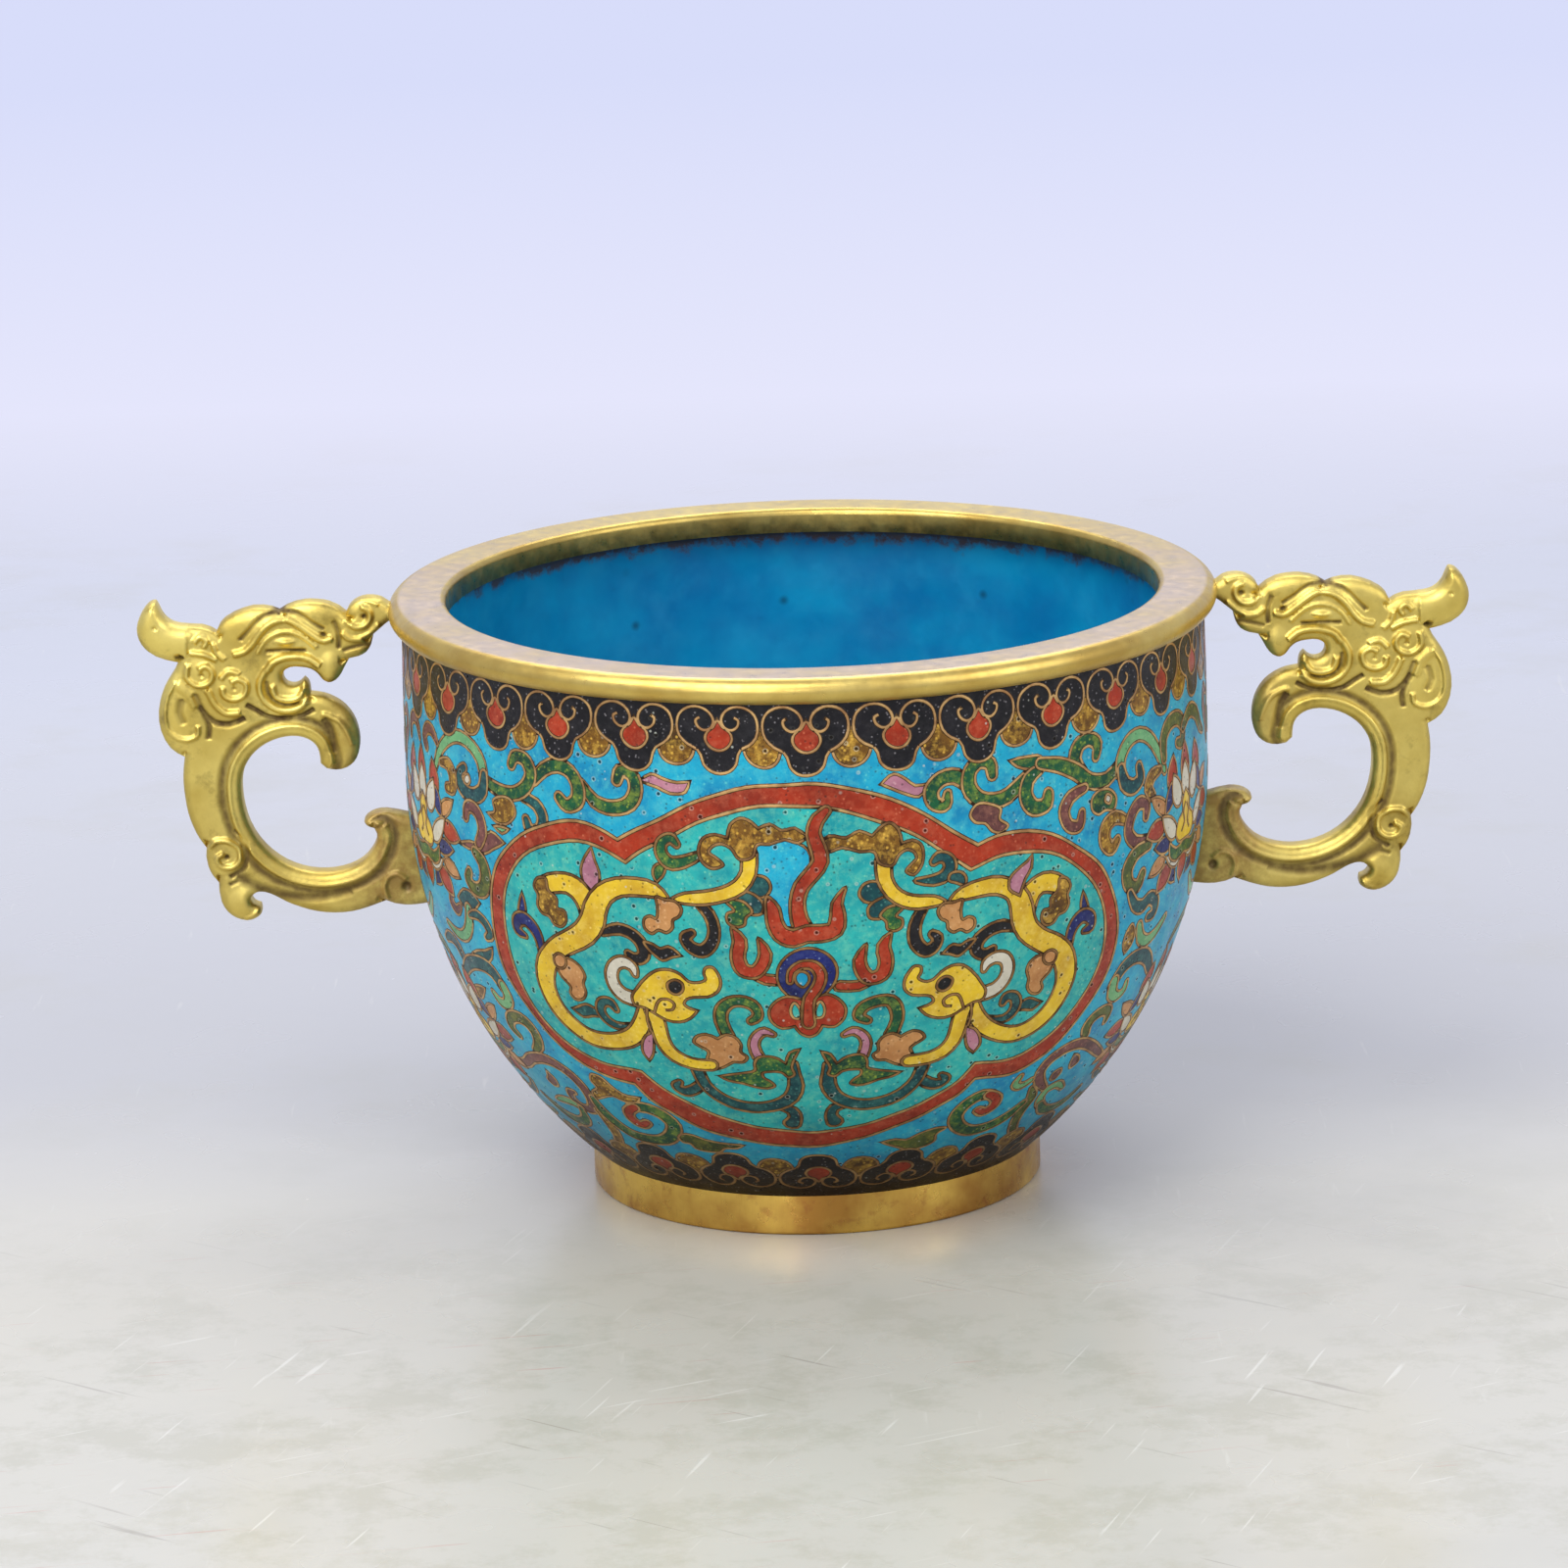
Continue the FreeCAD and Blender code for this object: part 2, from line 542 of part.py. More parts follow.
def lappet_face(rows, far_z):
    """Lappet from its tip to beyond the sector at both sides and beyond the wall's end."""
    side = rows[-1][-1]
    wide = side.x + OVERRUN
    corners = [side, at(wide, side.z), at(wide, far_z), at(-wide, far_z), at(-wide, side.z),
               at(-side.x, side.z)]
    edges = []
    for points in mirrored(rows):
        edges += smooth_edges(points)
    for start, end in zip(corners, corners[1:]):
        edges.append(Part.LineSegment(start, end).toShape())
    return face_of(edges)


def border(layer, count, low, high, faces):
    """Cells of a border with count lappets between two heights, and its ground pieces."""
    lappet, drop, lobe = faces
    step = 360 / count
    sector = wedge(step)
    head = Cell(lappet, layer, sector)
    bead = Cell(drop, layer)
    neighbours = turned_copies(head.place, [step / 2, -step / 2])
    behind = Cell(lobe, layer)
    lobe_place = behind.place.cut(neighbours)
    lobe_fill = behind.fill.cut(neighbours)
    lobe_fence = behind.fence.cut(neighbours)
    zone = layer.common([cylinder_z(BELLY_RADIUS + OVERRUN, low, high).common(sector)])
    ground = zone.cut([head.place] + turned_copies(lobe_place, [step / 2, -step / 2]))
    turns = [step * i for i in range(count)]
    half_turns = [step * (i + 0.5) for i in range(count)]
    return {
        "enamel": turned_copies(head.fill.cut(bead.place), turns),
        "drops": turned_copies(bead.fill, turns),
        "lobes": turned_copies(lobe_fill, half_turns),
        "wires": turned_copies(Part.makeCompound([head.fence, bead.fence]), turns)
        + turned_copies(lobe_fence, half_turns),
        "ground": turned_copies(ground, turns),
    }


def border_faces(place, lappet_rows, drop_rows, lobe_rows, far_z):
    def rows_of(shares):
        return [[place(s) for s in row] for row in shares]

    lappet = lappet_face(rows_of(lappet_rows), far_z)
    return lappet, outline_face(mirrored(rows_of(drop_rows))), outline_face(mirrored(rows_of(lobe_rows)))


def upper_border(layer):
    pitch = 2 * math.pi * (BELLY_RADIUS - NECK_DRAW_IN) / UPPER_LAPPETS

    def place(share):
        return at(pitch * share[0], WALL_TOP - UPPER_BORDER_DROP * share[1])

    faces = border_faces(place, UPPER_LAPPET_SHARES, UPPER_DROP_SHARES, UPPER_LOBE_SHARES,
                         WALL_TOP + OVERRUN)
    return border(layer, UPPER_LAPPETS, UPPER_ZONE, WALL_TOP + OVERRUN, faces)


def lower_border(layer):
    pitch = 2 * math.pi * wall_radius(0, FOOT_HEIGHT + LOWER_BORDER_RISE / 2) / LOWER_LAPPETS

    def place(share):
        return at(pitch * share[0], FOOT_HEIGHT + LOWER_BORDER_RISE * share[1])

    faces = border_faces(place, LOWER_LAPPET_SHARES, LOWER_DROP_SHARES, LOWER_LOBE_SHARES, 0)
    return border(layer, LOWER_LAPPETS, 0, LOWER_ZONE, faces)


# Panels, flowers and vines

def panel_point(share):
    return at(BELLY_RADIUS * PANEL_REACH_SHARE * share[0],
              FOOT_HEIGHT + WALL_HEIGHT * (PANEL_FOOT_SHARE + PANEL_HEIGHT_SHARE * share[1]))


def panel_stroke(line, width_share):
    width = BELLY_RADIUS * PANEL_REACH_SHARE * width_share
    return stroke_face([panel_point(s) for s in line], width)


def dragon_face():
    head = closed_face([panel_point(s) for s in DRAGON_HEAD_SHARES])
    body = panel_stroke(DRAGON_BODY_SHARES, DRAGON_BODY_WIDTH_SHARE)
    branch = panel_stroke(DRAGON_BRANCH_SHARES, DRAGON_LIMB_WIDTH_SHARE)
    leg = panel_stroke(DRAGON_LEG_SHARES, DRAGON_LIMB_WIDTH_SHARE)
    return joined([head, body, branch, leg]).Faces[0]


def flame_faces():
    """The flame over the pearl, one flame at each side and the cloud knot below."""
    top = joined([panel_stroke(FLAME_TOP_SHARES, FLAME_WIDTH_SHARE),
                  panel_stroke(FLAME_CUP_SHARES, FLAME_WIDTH_SHARE)]).Faces[0]
    right = panel_stroke(FLAME_SIDE_SHARES, FLAME_WIDTH_SHARE)
    left = panel_stroke([(-a, b) for a, b in FLAME_SIDE_SHARES], FLAME_WIDTH_SHARE)
    knot = closed_face([panel_point(s) for s in FLAME_KNOT_SHARES])
    return [top, right, left, knot]


def panel(layer):
    """Cells of the front panel: band, ground, dragons, pearl, flames and their wires."""
    outline = outline_face(mirrored([[panel_point(s) for s in row] for row in PANEL_OUTLINE_SHARES]))
    frame = Cell(outline, layer)
    field = Cell(grown(outline, -PANEL_BAND_WIDTH), layer)
    dragon = Cell(dragon_face(), layer)
    dragons = [dragon.fill, mirror_x(dragon.fill)]
    pearl_ring = Part.Circle(panel_point((0, PEARL_HEIGHT_SHARE)), Vector(0, 1, 0),
                             BELLY_RADIUS * PANEL_REACH_SHARE * PEARL_RADIUS_SHARE)
    pearl = Cell(Part.Face(Part.Wire(pearl_ring.toShape())), layer)
    flames = [Cell(face, layer) for face in flame_faces()]
    motifs = [dragon.place, mirror_x(dragon.place), pearl.place] + [f.place for f in flames]
    return {
        "place": frame.place,
        "band": [frame.fill.cut(field.place)],
        "wires": [frame.fence, field.fence],
        "ground": [field.fill.cut(motifs)],
        "dragons": dragons,
        "pearl": [pearl.fill],
        "flames": [f.fill for f in flames],
        "motif_wires": [dragon.fence, mirror_x(dragon.fence), pearl.fence] + [f.fence for f in flames],
    }


def flower_face():
    """Lotus seen from the front: round petals, drawn in between them."""
    middle = at(0, FOOT_HEIGHT + WALL_HEIGHT * LOTUS_HEIGHT_SHARE)
    stretches = []
    for i in range(LOTUS_PETALS):
        stretch = []
        for j in range(PETAL_POINTS + 1):
            along = j / PETAL_POINTS
            angle = 2 * math.pi * (i + along) / LOTUS_PETALS
            swell = LOTUS_WAIST_SHARE + (1 - LOTUS_WAIST_SHARE) * math.sin(math.pi * along)
            stretch.append(middle + at(math.cos(angle), math.sin(angle)) * LOTUS_RADIUS * swell)
        stretches.append(stretch)
    return outline_face(stretches), middle


def lotus(layer):
    face, middle = flower_face()
    flower = Cell(face, layer)
    ring = Part.Circle(middle, Vector(0, 1, 0), LOTUS_RADIUS * LOTUS_HEART_SHARE)
    heart = Cell(Part.Face(Part.Wire(ring.toShape())), layer)
    turns = [side + turn for side in (0, 180) for turn in (LOTUS_TURN_DEGREES, -LOTUS_TURN_DEGREES)]
    return {
        "place": turned_copies(flower.place, turns),
        "petals": turned_copies(flower.fill.cut(heart.place), turns),
        "hearts": turned_copies(heart.fill, turns),
        "wires": turned_copies(flower.fence.fuse(heart.fence), turns),
    }


def vines(layer):
    """Green scrolls between the flowers and the panels."""
    middle = at(0, FOOT_HEIGHT + WALL_HEIGHT * LOTUS_HEIGHT_SHARE)
    cells = []
    for line in VINE_SHARES:
        points = [middle + at(-WALL_HEIGHT * a, WALL_HEIGHT * b) for a, b in line]
        cells.append(Cell(stroke_face(points, WALL_HEIGHT * VINE_WIDTH_SHARE), layer))
    turns = [0, 180]
    result = {"place": [], "fills": [], "wires": []}
    for cell in cells:
        for name, shape in (("place", cell.place), ("fills", cell.fill), ("wires", cell.fence)):
            one = turned_copies(shape, [VINE_TURN_DEGREES])[0]
            result[name] += turned_copies(one, turns) + turned_copies(mirror_x(one), turns)
    return result


def write(name, shapes):
    solids = []
    for shape in shapes:
        solids += shape.Solids
    body = solids[0] if len(solids) == 1 else Part.makeCompound(solids)
    body.exportStep("parts/" + name + ".step")
    volume = sum(solid.Volume for solid in solids)
    print("%-22s %3d solids  %10.2f mm3  valid %s" % (name, len(solids), volume, body.isValid()))


def main():
    os.makedirs("parts", exist_ok=True)
    rim = rim_blank()
    cup_outside = bowl_solid(0, WALL_TOP)
    copper_outside = bowl_solid(OUTER_ENAMEL, WALL_TOP + GROOVE_DEPTH - GROOVE_CLEARANCE)
    copper_inside = bowl_solid(COPPER_DEPTH, CUP_HEIGHT + OVERRUN)
    holes = tangs(TANG_CLEARANCE)
    holes += [mirror_x(hole) for hole in holes]

    handle = right_handle(rim, cup_outside, copper_inside)
    write("right_handle", [handle])
    write("left_handle", [mirror_x(handle)])
    write("copper_body", [copper_outside.cut([copper_inside] + holes)])
    write("inner_enamel", [shell(COPPER_DEPTH, LINING_DEPTH, WALL_TOP)])
    write("rim_ring", [rim.cut([rim_groove()] + holes)])
    write("foot_ring", [foot_ring(copper_outside)])

    coat = cup_outside.cut(bowl_solid(OUTER_ENAMEL, WALL_TOP + OVERRUN))
    layer = coat.cut(cylinder_z(FOOT_RADIUS, -OVERRUN, BELLY_HEIGHT))
    write("base_enamel", [coat.common(cylinder_z(FOOT_RADIUS - FOOT_WIDTH, -OVERRUN, BELLY_HEIGHT))])

    grounds = []
    for name, cells in (("upper", upper_border(layer)), ("lower", lower_border(layer))):
        for kind in ("enamel", "drops", "lobes", "wires"):
            write(name + "_border_" + kind, cells[kind])
        grounds += cells["ground"]

    places = []
    front = panel(layer)
    for side, turn in (("front", 0), ("back", 180)):
        for name in ("band", "wires", "ground", "dragons", "pearl", "flames", "motif_wires"):
            shapes = [turned_copies(shape, [turn])[0] for shape in front[name]]
            full_name = "_panel_" + name if name in ("band", "wires", "ground") else "_" + name
            write(side + full_name, shapes)
        places += turned_copies(front["place"], [turn])

    flowers = lotus(layer)
    write("lotus_petals", flowers["petals"])
    write("lotus_hearts", flowers["hearts"])
    write("lotus_wires", flowers["wires"])
    scrolls = vines(layer)
    write("vine_scrolls", scrolls["fills"])
    write("vine_wires", scrolls["wires"])
    places += flowers["place"] + scrolls["place"]
    middle = layer.common(cylinder_z(BELLY_RADIUS + OVERRUN, LOWER_ZONE, UPPER_ZONE))
    write("sky_ground_enamel", [joined([middle.cut(places + holes)] + grounds)])


main()
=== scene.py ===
"""A two-handled enamelled cup: its enamel cells, wires, gilt metalwork and finishes."""

import math

import bpy
import numpy as np
from mathutils import Matrix, Vector
from mathutils.geometry import delaunay_2d_cdt


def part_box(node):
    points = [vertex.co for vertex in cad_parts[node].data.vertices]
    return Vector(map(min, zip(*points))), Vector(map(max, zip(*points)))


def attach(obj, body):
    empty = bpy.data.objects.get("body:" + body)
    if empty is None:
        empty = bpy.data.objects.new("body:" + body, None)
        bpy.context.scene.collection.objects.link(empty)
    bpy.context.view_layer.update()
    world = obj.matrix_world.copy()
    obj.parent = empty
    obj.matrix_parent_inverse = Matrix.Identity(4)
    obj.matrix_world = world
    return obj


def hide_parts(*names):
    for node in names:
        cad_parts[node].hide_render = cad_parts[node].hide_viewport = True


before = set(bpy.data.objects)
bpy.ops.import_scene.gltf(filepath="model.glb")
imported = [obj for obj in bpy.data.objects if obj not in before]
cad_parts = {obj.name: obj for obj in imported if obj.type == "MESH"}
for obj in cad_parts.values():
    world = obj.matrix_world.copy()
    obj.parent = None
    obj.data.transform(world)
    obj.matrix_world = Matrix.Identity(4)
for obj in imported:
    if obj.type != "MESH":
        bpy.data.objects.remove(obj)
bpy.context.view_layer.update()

# Sizes in millimetres, taken from the frame where it has them
MM = 0.001
RIM_LOW, RIM_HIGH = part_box("rim_ring")
FOOT_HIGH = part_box("foot_ring")[1]
CUP_HEIGHT = RIM_HIGH.z / MM
WALL_TOP = RIM_LOW.z / MM
RIM_RADIUS = RIM_HIGH.x / MM
FOOT_RADIUS = FOOT_HIGH.x / MM
BELLY_RADIUS = 53.5
BELLY_HEIGHT = 57.0
NECK_DRAW_IN = 0.3
FOOT_HEIGHT = 5.4
FOOT_WIDTH = 2.8
FOOT_ROUND = 0.5
RIM_WIDTH = 7.7
MOUTH_RADIUS = RIM_RADIUS - RIM_WIDTH
RIM_ROUND = 1.8
RIM_TUCK = 0.9
RIM_INNER_ROUND = 0.9
ENAMEL_DEPTH = 0.9
LOWER_ARC = ((BELLY_RADIUS - FOOT_RADIUS) ** 2 + (BELLY_HEIGHT - FOOT_HEIGHT) ** 2) \
    / (2 * (BELLY_RADIUS - FOOT_RADIUS))
UPPER_ARC = ((WALL_TOP - BELLY_HEIGHT) ** 2 + NECK_DRAW_IN ** 2) / (2 * NECK_DRAW_IN)

# The pattern map: x runs round the belly, v runs down the wall from just above its top.
# One unit is a millimetre at the belly, and shapes keep their proportions all over.
MAP_TOP = WALL_TOP + 0.3
HALF_TURN = math.pi * BELLY_RADIUS
QUARTER_TURN = HALF_TURN / 2
WIRE = 0.48
BAND_WIRE = 0.58
WIRE_RISE = 0.05
SHOULDER_SHARE = 0.48
SCROLL_EXTRA = 0.3
THIN_END = 0.3
MESH_STEP = 1.35
LONGEST_STEP = 1.5
BEND_STEP = math.radians(15)
SHARPEST_BEND = 0.6
CLOSE = 0.02
WALL_SAMPLES = 1500
BATCH = 4000


def wall_radius(z):
    upper = BELLY_RADIUS - UPPER_ARC + np.sqrt(UPPER_ARC ** 2 - (z - BELLY_HEIGHT) ** 2)
    lower = BELLY_RADIUS - LOWER_ARC + np.sqrt(LOWER_ARC ** 2 - (BELLY_HEIGHT - z) ** 2)
    return np.where(z > BELLY_HEIGHT, upper, lower)


wall_z = np.linspace(MAP_TOP, FOOT_HEIGHT, WALL_SAMPLES)
wall_r = wall_radius(wall_z)
wall_steps = np.hypot(np.diff(wall_z), np.diff(wall_r))
wall_v = np.concatenate(
    [[0], np.cumsum(wall_steps * 2 * BELLY_RADIUS / (wall_r[1:] + wall_r[:-1]))])
wall_slope = np.gradient(wall_r, wall_z)
TOP_V = float(np.interp(MAP_TOP - WALL_TOP, MAP_TOP - wall_z, wall_v))
BOTTOM_V = float(wall_v[-1])


def on_wall(x, v, lift):
    """Points of the pattern map on the cup, raised off its surface by lift."""
    radius = np.interp(v, wall_v, wall_r)
    height = np.interp(v, wall_v, wall_z)
    slope = np.interp(v, wall_v, wall_slope)
    length = np.hypot(1, slope)
    radius = radius + lift / length
    height = height - lift * slope / length
    angle = x / BELLY_RADIUS
    return np.column_stack([radius * np.sin(angle), -radius * np.cos(angle), height])


def true_scale(v):
    """Map units in one real millimetre at that place on the wall."""
    return BELLY_RADIUS / np.interp(v, wall_v, wall_r)


# Curves

def unit(vectors):
    return vectors / np.maximum(np.linalg.norm(vectors, axis=1), 1e-9)[:, None]


def smooth(points, closed=False):
    """Curve through given points, with more steps where it bends more."""
    p = np.array(points, float)
    if closed:
        p = np.vstack([p[-1:], p, p[:2]])
    else:
        p = np.vstack([2 * p[0] - p[1], p, 2 * p[-1] - p[-2]])
    gaps = np.maximum(np.linalg.norm(np.diff(p[:, :2], axis=0), axis=1), 1e-6)[:, None]
    slopes = np.diff(p, axis=0) / gaps
    tangents = (slopes[:-1] * gaps[1:] + slopes[1:] * gaps[:-1]) / (gaps[:-1] + gaps[1:])
    pieces = []
    for i in range(1, len(p) - 2):
        gap = gaps[i, 0]
        start, end = tangents[i - 1] * gap, tangents[i] * gap
        ways = unit(np.array([start[:2], p[i + 1, :2] - p[i, :2], end[:2]]))
        turn = sum(math.acos(min(1, max(-1, float(a @ b)))) for a, b in zip(ways, ways[1:]))
        count = max(1, math.ceil(gap / LONGEST_STEP), math.ceil(turn / BEND_STEP))
        t = np.linspace(0, 1, count, endpoint=False)[:, None]
        pieces.append((2 * t ** 3 - 3 * t ** 2 + 1) * p[i] + (t ** 3 - 2 * t ** 2 + t) * start
                      + (3 * t ** 2 - 2 * t ** 3) * p[i + 1] + (t ** 3 - t ** 2) * end)
    if not closed:
        pieces.append(p[-2:-1])
    return np.vstack(pieces)


def outline(points):
    """Closed curve. A point with a third value is a corner."""
    corners = [i for i, p in enumerate(points) if len(p) == 3]
    plain = [p[:2] for p in points]
    if not corners:
        return smooth(plain, closed=True)
    first = corners[0]
    turned = plain[first:] + plain[:first + 1]
    marks = [i - first for i in corners] + [len(plain)]
    return np.vstack([smooth(turned[a:b + 1])[:-1] for a, b in zip(marks, marks[1:])])


def cap(centre, along, across, half):
    """Rounded end of a scroll, or a point where it is thin."""
    if half < THIN_END:
        return (centre + along * half)[None]
    angles = np.radians([55, 18, -18, -55])[:, None]
    return centre + half * (np.cos(angles) * along + np.sin(angles) * across)


def scroll(points):
    """Outline of a scroll given by its middle line and its width at each point."""
    line = smooth(points)
    middle = line[:, :2]
    half = line[:, 2:] / 2 + SCROLL_EXTRA / 2 * np.clip(2 * line[:, 2:] - 1, 0, 1)
    along = unit(np.gradient(middle, axis=0))
    across = np.column_stack([-along[:, 1], along[:, 0]])
    return np.vstack([middle + across * half, cap(middle[-1], along[-1], across[-1], half[-1, 0]),
                      (middle - across * half)[::-1],
                      cap(middle[0], -along[0], -across[0], half[0, 0])])


def thinned(line, closed):
    """The same line with no two points closer than a hair."""
    kept = [line[0]]
    for p in line[1:]:
        if np.hypot(*(p - kept[-1])) > 2 * CLOSE:
            kept.append(p)
    if closed and len(kept) > 3 and np.hypot(*(kept[0] - kept[-1])) < 2 * CLOSE:
        kept.pop()
    return np.array(kept)


def beside(line, amount, closed):
    """The line moved sideways by amount, which may differ from point to point."""
    if closed:
        before, after = np.roll(line, 1, 0), np.roll(line, -1, 0)
    else:
        before = np.vstack([2 * line[:1] - line[1:2], line[:-1]])
        after = np.vstack([line[1:], 2 * line[-1:] - line[-2:-1]])
    out = unit(after - line)
    mean = unit(unit(line - before) + out)
    stretch = 1 / np.clip((mean * out).sum(1), SHARPEST_BEND, 1)
    return line + np.column_stack([-mean[:, 1], mean[:, 0]]) * (amount * stretch)[:, None]


def distance(points, line, closed):
    """Distance from each point to a line. Past the flat ends of an open line it is endless."""
    start = line if closed else line[:-1]
    end = np.roll(line, -1, 0) if closed else line[1:]
    run = end - start
    length2 = np.maximum((run ** 2).sum(1), 1e-12)
    result = np.empty(len(points))
    for first in range(0, len(points), BATCH):
        offset = points[first:first + BATCH, None] - start[None]
        t = (offset * run).sum(2) / length2
        gap = np.linalg.norm(offset - np.clip(t, 0, 1)[..., None] * run, axis=2)
        if not closed:
            gap[t[:, 0] < 0, 0] = np.inf
            gap[t[:, -1] > 1, -1] = np.inf
        result[first:first + BATCH] = gap.min(1)
    return result


def inside(points, loop):
    """True for the points that a closed line winds round."""
    x, y = points[:, :1], points[:, 1:]
    (ax, ay), (bx, by) = loop.T, np.roll(loop, -1, 0).T
    side = (bx - ax) * (y - ay) - (x - ax) * (by - ay)
    upward = (ay <= y) & (by > y) & (side > 0)
    downward = (ay > y) & (by <= y) & (side < 0)
    return upward.sum(1) != downward.sum(1)


# Pattern shapes, from the bottom layer up

shapes = []


def add(owner, colour, line, closed=True, wire=WIRE):
    shapes.append((owner, colour, thinned(line, closed), closed, wire))


# How the right half of the panel's figures differs from the left, above and below the pearl
RIGHT_UPPER_X = ((0, 4, 8, 12, 17, 22, 28, 33, 41), (0, 0.9, 1.5, 1.1, -0.1, -0.3, -0.2, -2, -2.6))
RIGHT_LOWER_X = ((0, 3, 8, 12, 17, 22, 28, 33, 41),
                 (-0.3, -1.2, -0.9, -1.1, -1.2, -1.4, -0.9, -2, -2.5))
RIGHT_V = ((10, 17, 24, 29, 34, 42, 50, 57), (0.4, 1.4, 1.5, 1.4, 0.9, 0.7, 0.4, -0.2))


def right_panel(x, v):
    """Where a place in the left half's figures lies in the right half."""
    share = min(max((v - 34) / 8, 0), 1)
    moved = (1 - share) * np.interp(x, *RIGHT_UPPER_X) + share * np.interp(x, *RIGHT_LOWER_X)
    return x + float(moved), v + float(np.interp(v, *RIGHT_V))


def right_flame(x, v):
    return x + 0.8, v + 1.5


def draw(owner, table, side=1, middle=0.0, move=None):
    """Adds a table of shapes, mirrored where side is -1, about a middle line of the map."""
    for form, colour, points in table:
        moved = []
        for x, v, *more in points:
            if move:
                x, v = move(x, v)
            moved.append((middle + side * x, v, *more))
        if form == "blob":
            add(owner, colour, outline(moved))
        elif form == "scroll":
            add(owner, colour, scroll(moved))
        else:
            add(owner, None, smooth(moved), closed=False)


# Hanging cloud-collar lappet: half of its outline, its curled wire and the red drop
LAPPET_EDGE = [(0, 9.6), (1.3, 9.3), (2.2, 8.4), (2.5, 7.2), (2.9, 6.5)]
LAPPET_CURL = [(2.9, 6.5), (4.0, 5.9), (5.0, 4.8), (5.3, 3.3), (4.9, 1.9), (3.7, 1.0), (2.1, 0.9),
               (0.9, 1.7), (0.5, 2.8), (0.9, 3.7), (1.8, 4.0), (2.6, 3.4), (2.7, 2.6), (2.2, 2.3)]
LAPPET_DROP = [(0, 2.6, 1), (0.6, 3.6), (1.5, 4.3), (1.75, 5.2), (1.1, 6.3), (0, 6.7)]
AMBER_DOME = [(0, 8.6), (1.3, 8.2), (2.1, 7.2), (2.3, 6.2), (1.7, 5.0), (0.8, 4.3), (0, 3.7)]
UPPER_PITCH = 2 * HALF_TURN / 30
LOWER_PITCH = 2 * HALF_TURN / 20
LOWER_STRETCH = 1.47
LOWER_START = 87.9


def halves(left, right):
    """Outline joined from a left and a right half that share their first and last points."""
    return list(right) + [(-p[0], *p[1:]) for p in left[-2:0:-1]]


def both_sides(half):
    """A mirror-symmetric outline from its right half, which starts and ends on the middle line."""
    return halves(half, half)


def border(owner, pitch, places, wide, high, start):
    """Row of lappets with amber domes between them."""
    def put(points, middle):
        return [(middle + wide * p[0], start + high * p[1], *p[2:]) for p in points]

    edge, reach = start - high * 3, (places + 1) * pitch
    inner = start + high * 4.4
    add(owner, "black", np.array([(-reach, edge), (reach, edge), (reach, inner), (-reach, inner)]),
        wire=0)
    for k in range(-places - 1, places + 1):
        add(owner, "amber", outline(put(both_sides(AMBER_DOME), (k + 0.5) * pitch)))
    for k in range(-places, places + 1):
        middle = k * pitch
        edge = LAPPET_EDGE + LAPPET_CURL[1:6] + [(0, 0.9)]
        add(owner, "black", outline(put(both_sides(edge), middle)), wire=0)
        add(owner, "red", outline(put(both_sides(LAPPET_DROP), middle)))
        lobe = [(-p[0], p[1]) for p in LAPPET_EDGE[:0:-1]] + LAPPET_EDGE
        add(owner, None, smooth(put(lobe, middle)), closed=False)
        for side in (1, -1):
            curl = [(side * p[0], p[1]) for p in LAPPET_CURL]
            add(owner, None, smooth(put(curl, middle)), closed=False)


# Cusped panel: outer and inner edges of its red band, each half from the top to the bottom
LEFT_OUTER = [(0, 10.6), (5.3, 10.9), (10.5, 11.9), (15.8, 13.9), (21.1, 16.7), (25.2, 19.0, 1),
              (27, 18.2), (30, 17.5), (34.2, 17.8), (38.4, 19.1), (42.1, 21.3), (45.3, 24.5),
              (47.5, 28.6), (48.7, 33), (49.1, 37.5), (48.7, 41), (47.4, 44.1), (45.3, 47.4),
              (42.1, 51.5), (37.9, 55.1), (34.2, 56.6), (29.2, 57.5, 1), (27.2, 60.6),
              (23.7, 63.8), (18.4, 67.4), (13.2, 69.5), (7.9, 70.6), (0, 71.0)]
LEFT_INNER = [(0, 13.5), (7.9, 13.9), (13.2, 15.6), (18.4, 18.1), (22.4, 20.4), (24.3, 21.8, 1),
              (26.8, 20.7), (30, 20.1), (34.2, 20.4), (37.9, 21.6), (41.6, 24.0), (44, 27.2),
              (45.5, 31), (46.1, 35), (46.2, 38.5), (45.8, 42), (44.5, 45.8), (42.1, 49),
              (38.4, 52.2), (34.2, 53.8), (27.0, 54.5, 1), (24.2, 57.4), (20, 60.6),
              (15.3, 63.7), (10, 65.7), (4.7, 66.6), (0, 66.9)]
RIGHT_OUTER = [(0, 10.6), (5.3, 11.5), (10.5, 13.3), (15.8, 16.2), (18.9, 18.3), (22, 20.6, 1),
               (24.6, 19.9), (28.2, 19.8), (31.8, 20.6), (36.8, 22.8), (41.1, 26), (44.2, 30.2),
               (46.0, 34.6), (46.7, 39), (46.3, 43.2), (44.2, 47.9), (41.1, 52.4), (36.8, 56.1),
               (31.6, 58.1), (25.2, 57.6, 1), (23.5, 60.1), (20, 62.7), (15.8, 65.3),
               (10.5, 68), (5.3, 70), (0, 71.0)]
RIGHT_INNER = [(0, 13.5), (5.3, 14.7), (10.5, 16.7), (15.8, 19.6), (18.6, 21.6), (21.1, 23.6, 1),
               (25.8, 22.6), (31.6, 23.1), (36.8, 25.3), (40.5, 28.7), (42.9, 32.5),
               (43.9, 36.6), (43.9, 40.3), (43.0, 44), (40.5, 48.4), (36.8, 52), (32.6, 54.3),
               (28.4, 54.9), (24.4, 54.3, 1), (22.4, 57.4), (18.4, 60.5), (13.2, 63.3),
               (7.9, 65.5), (3.4, 66.6), (0, 66.9)]

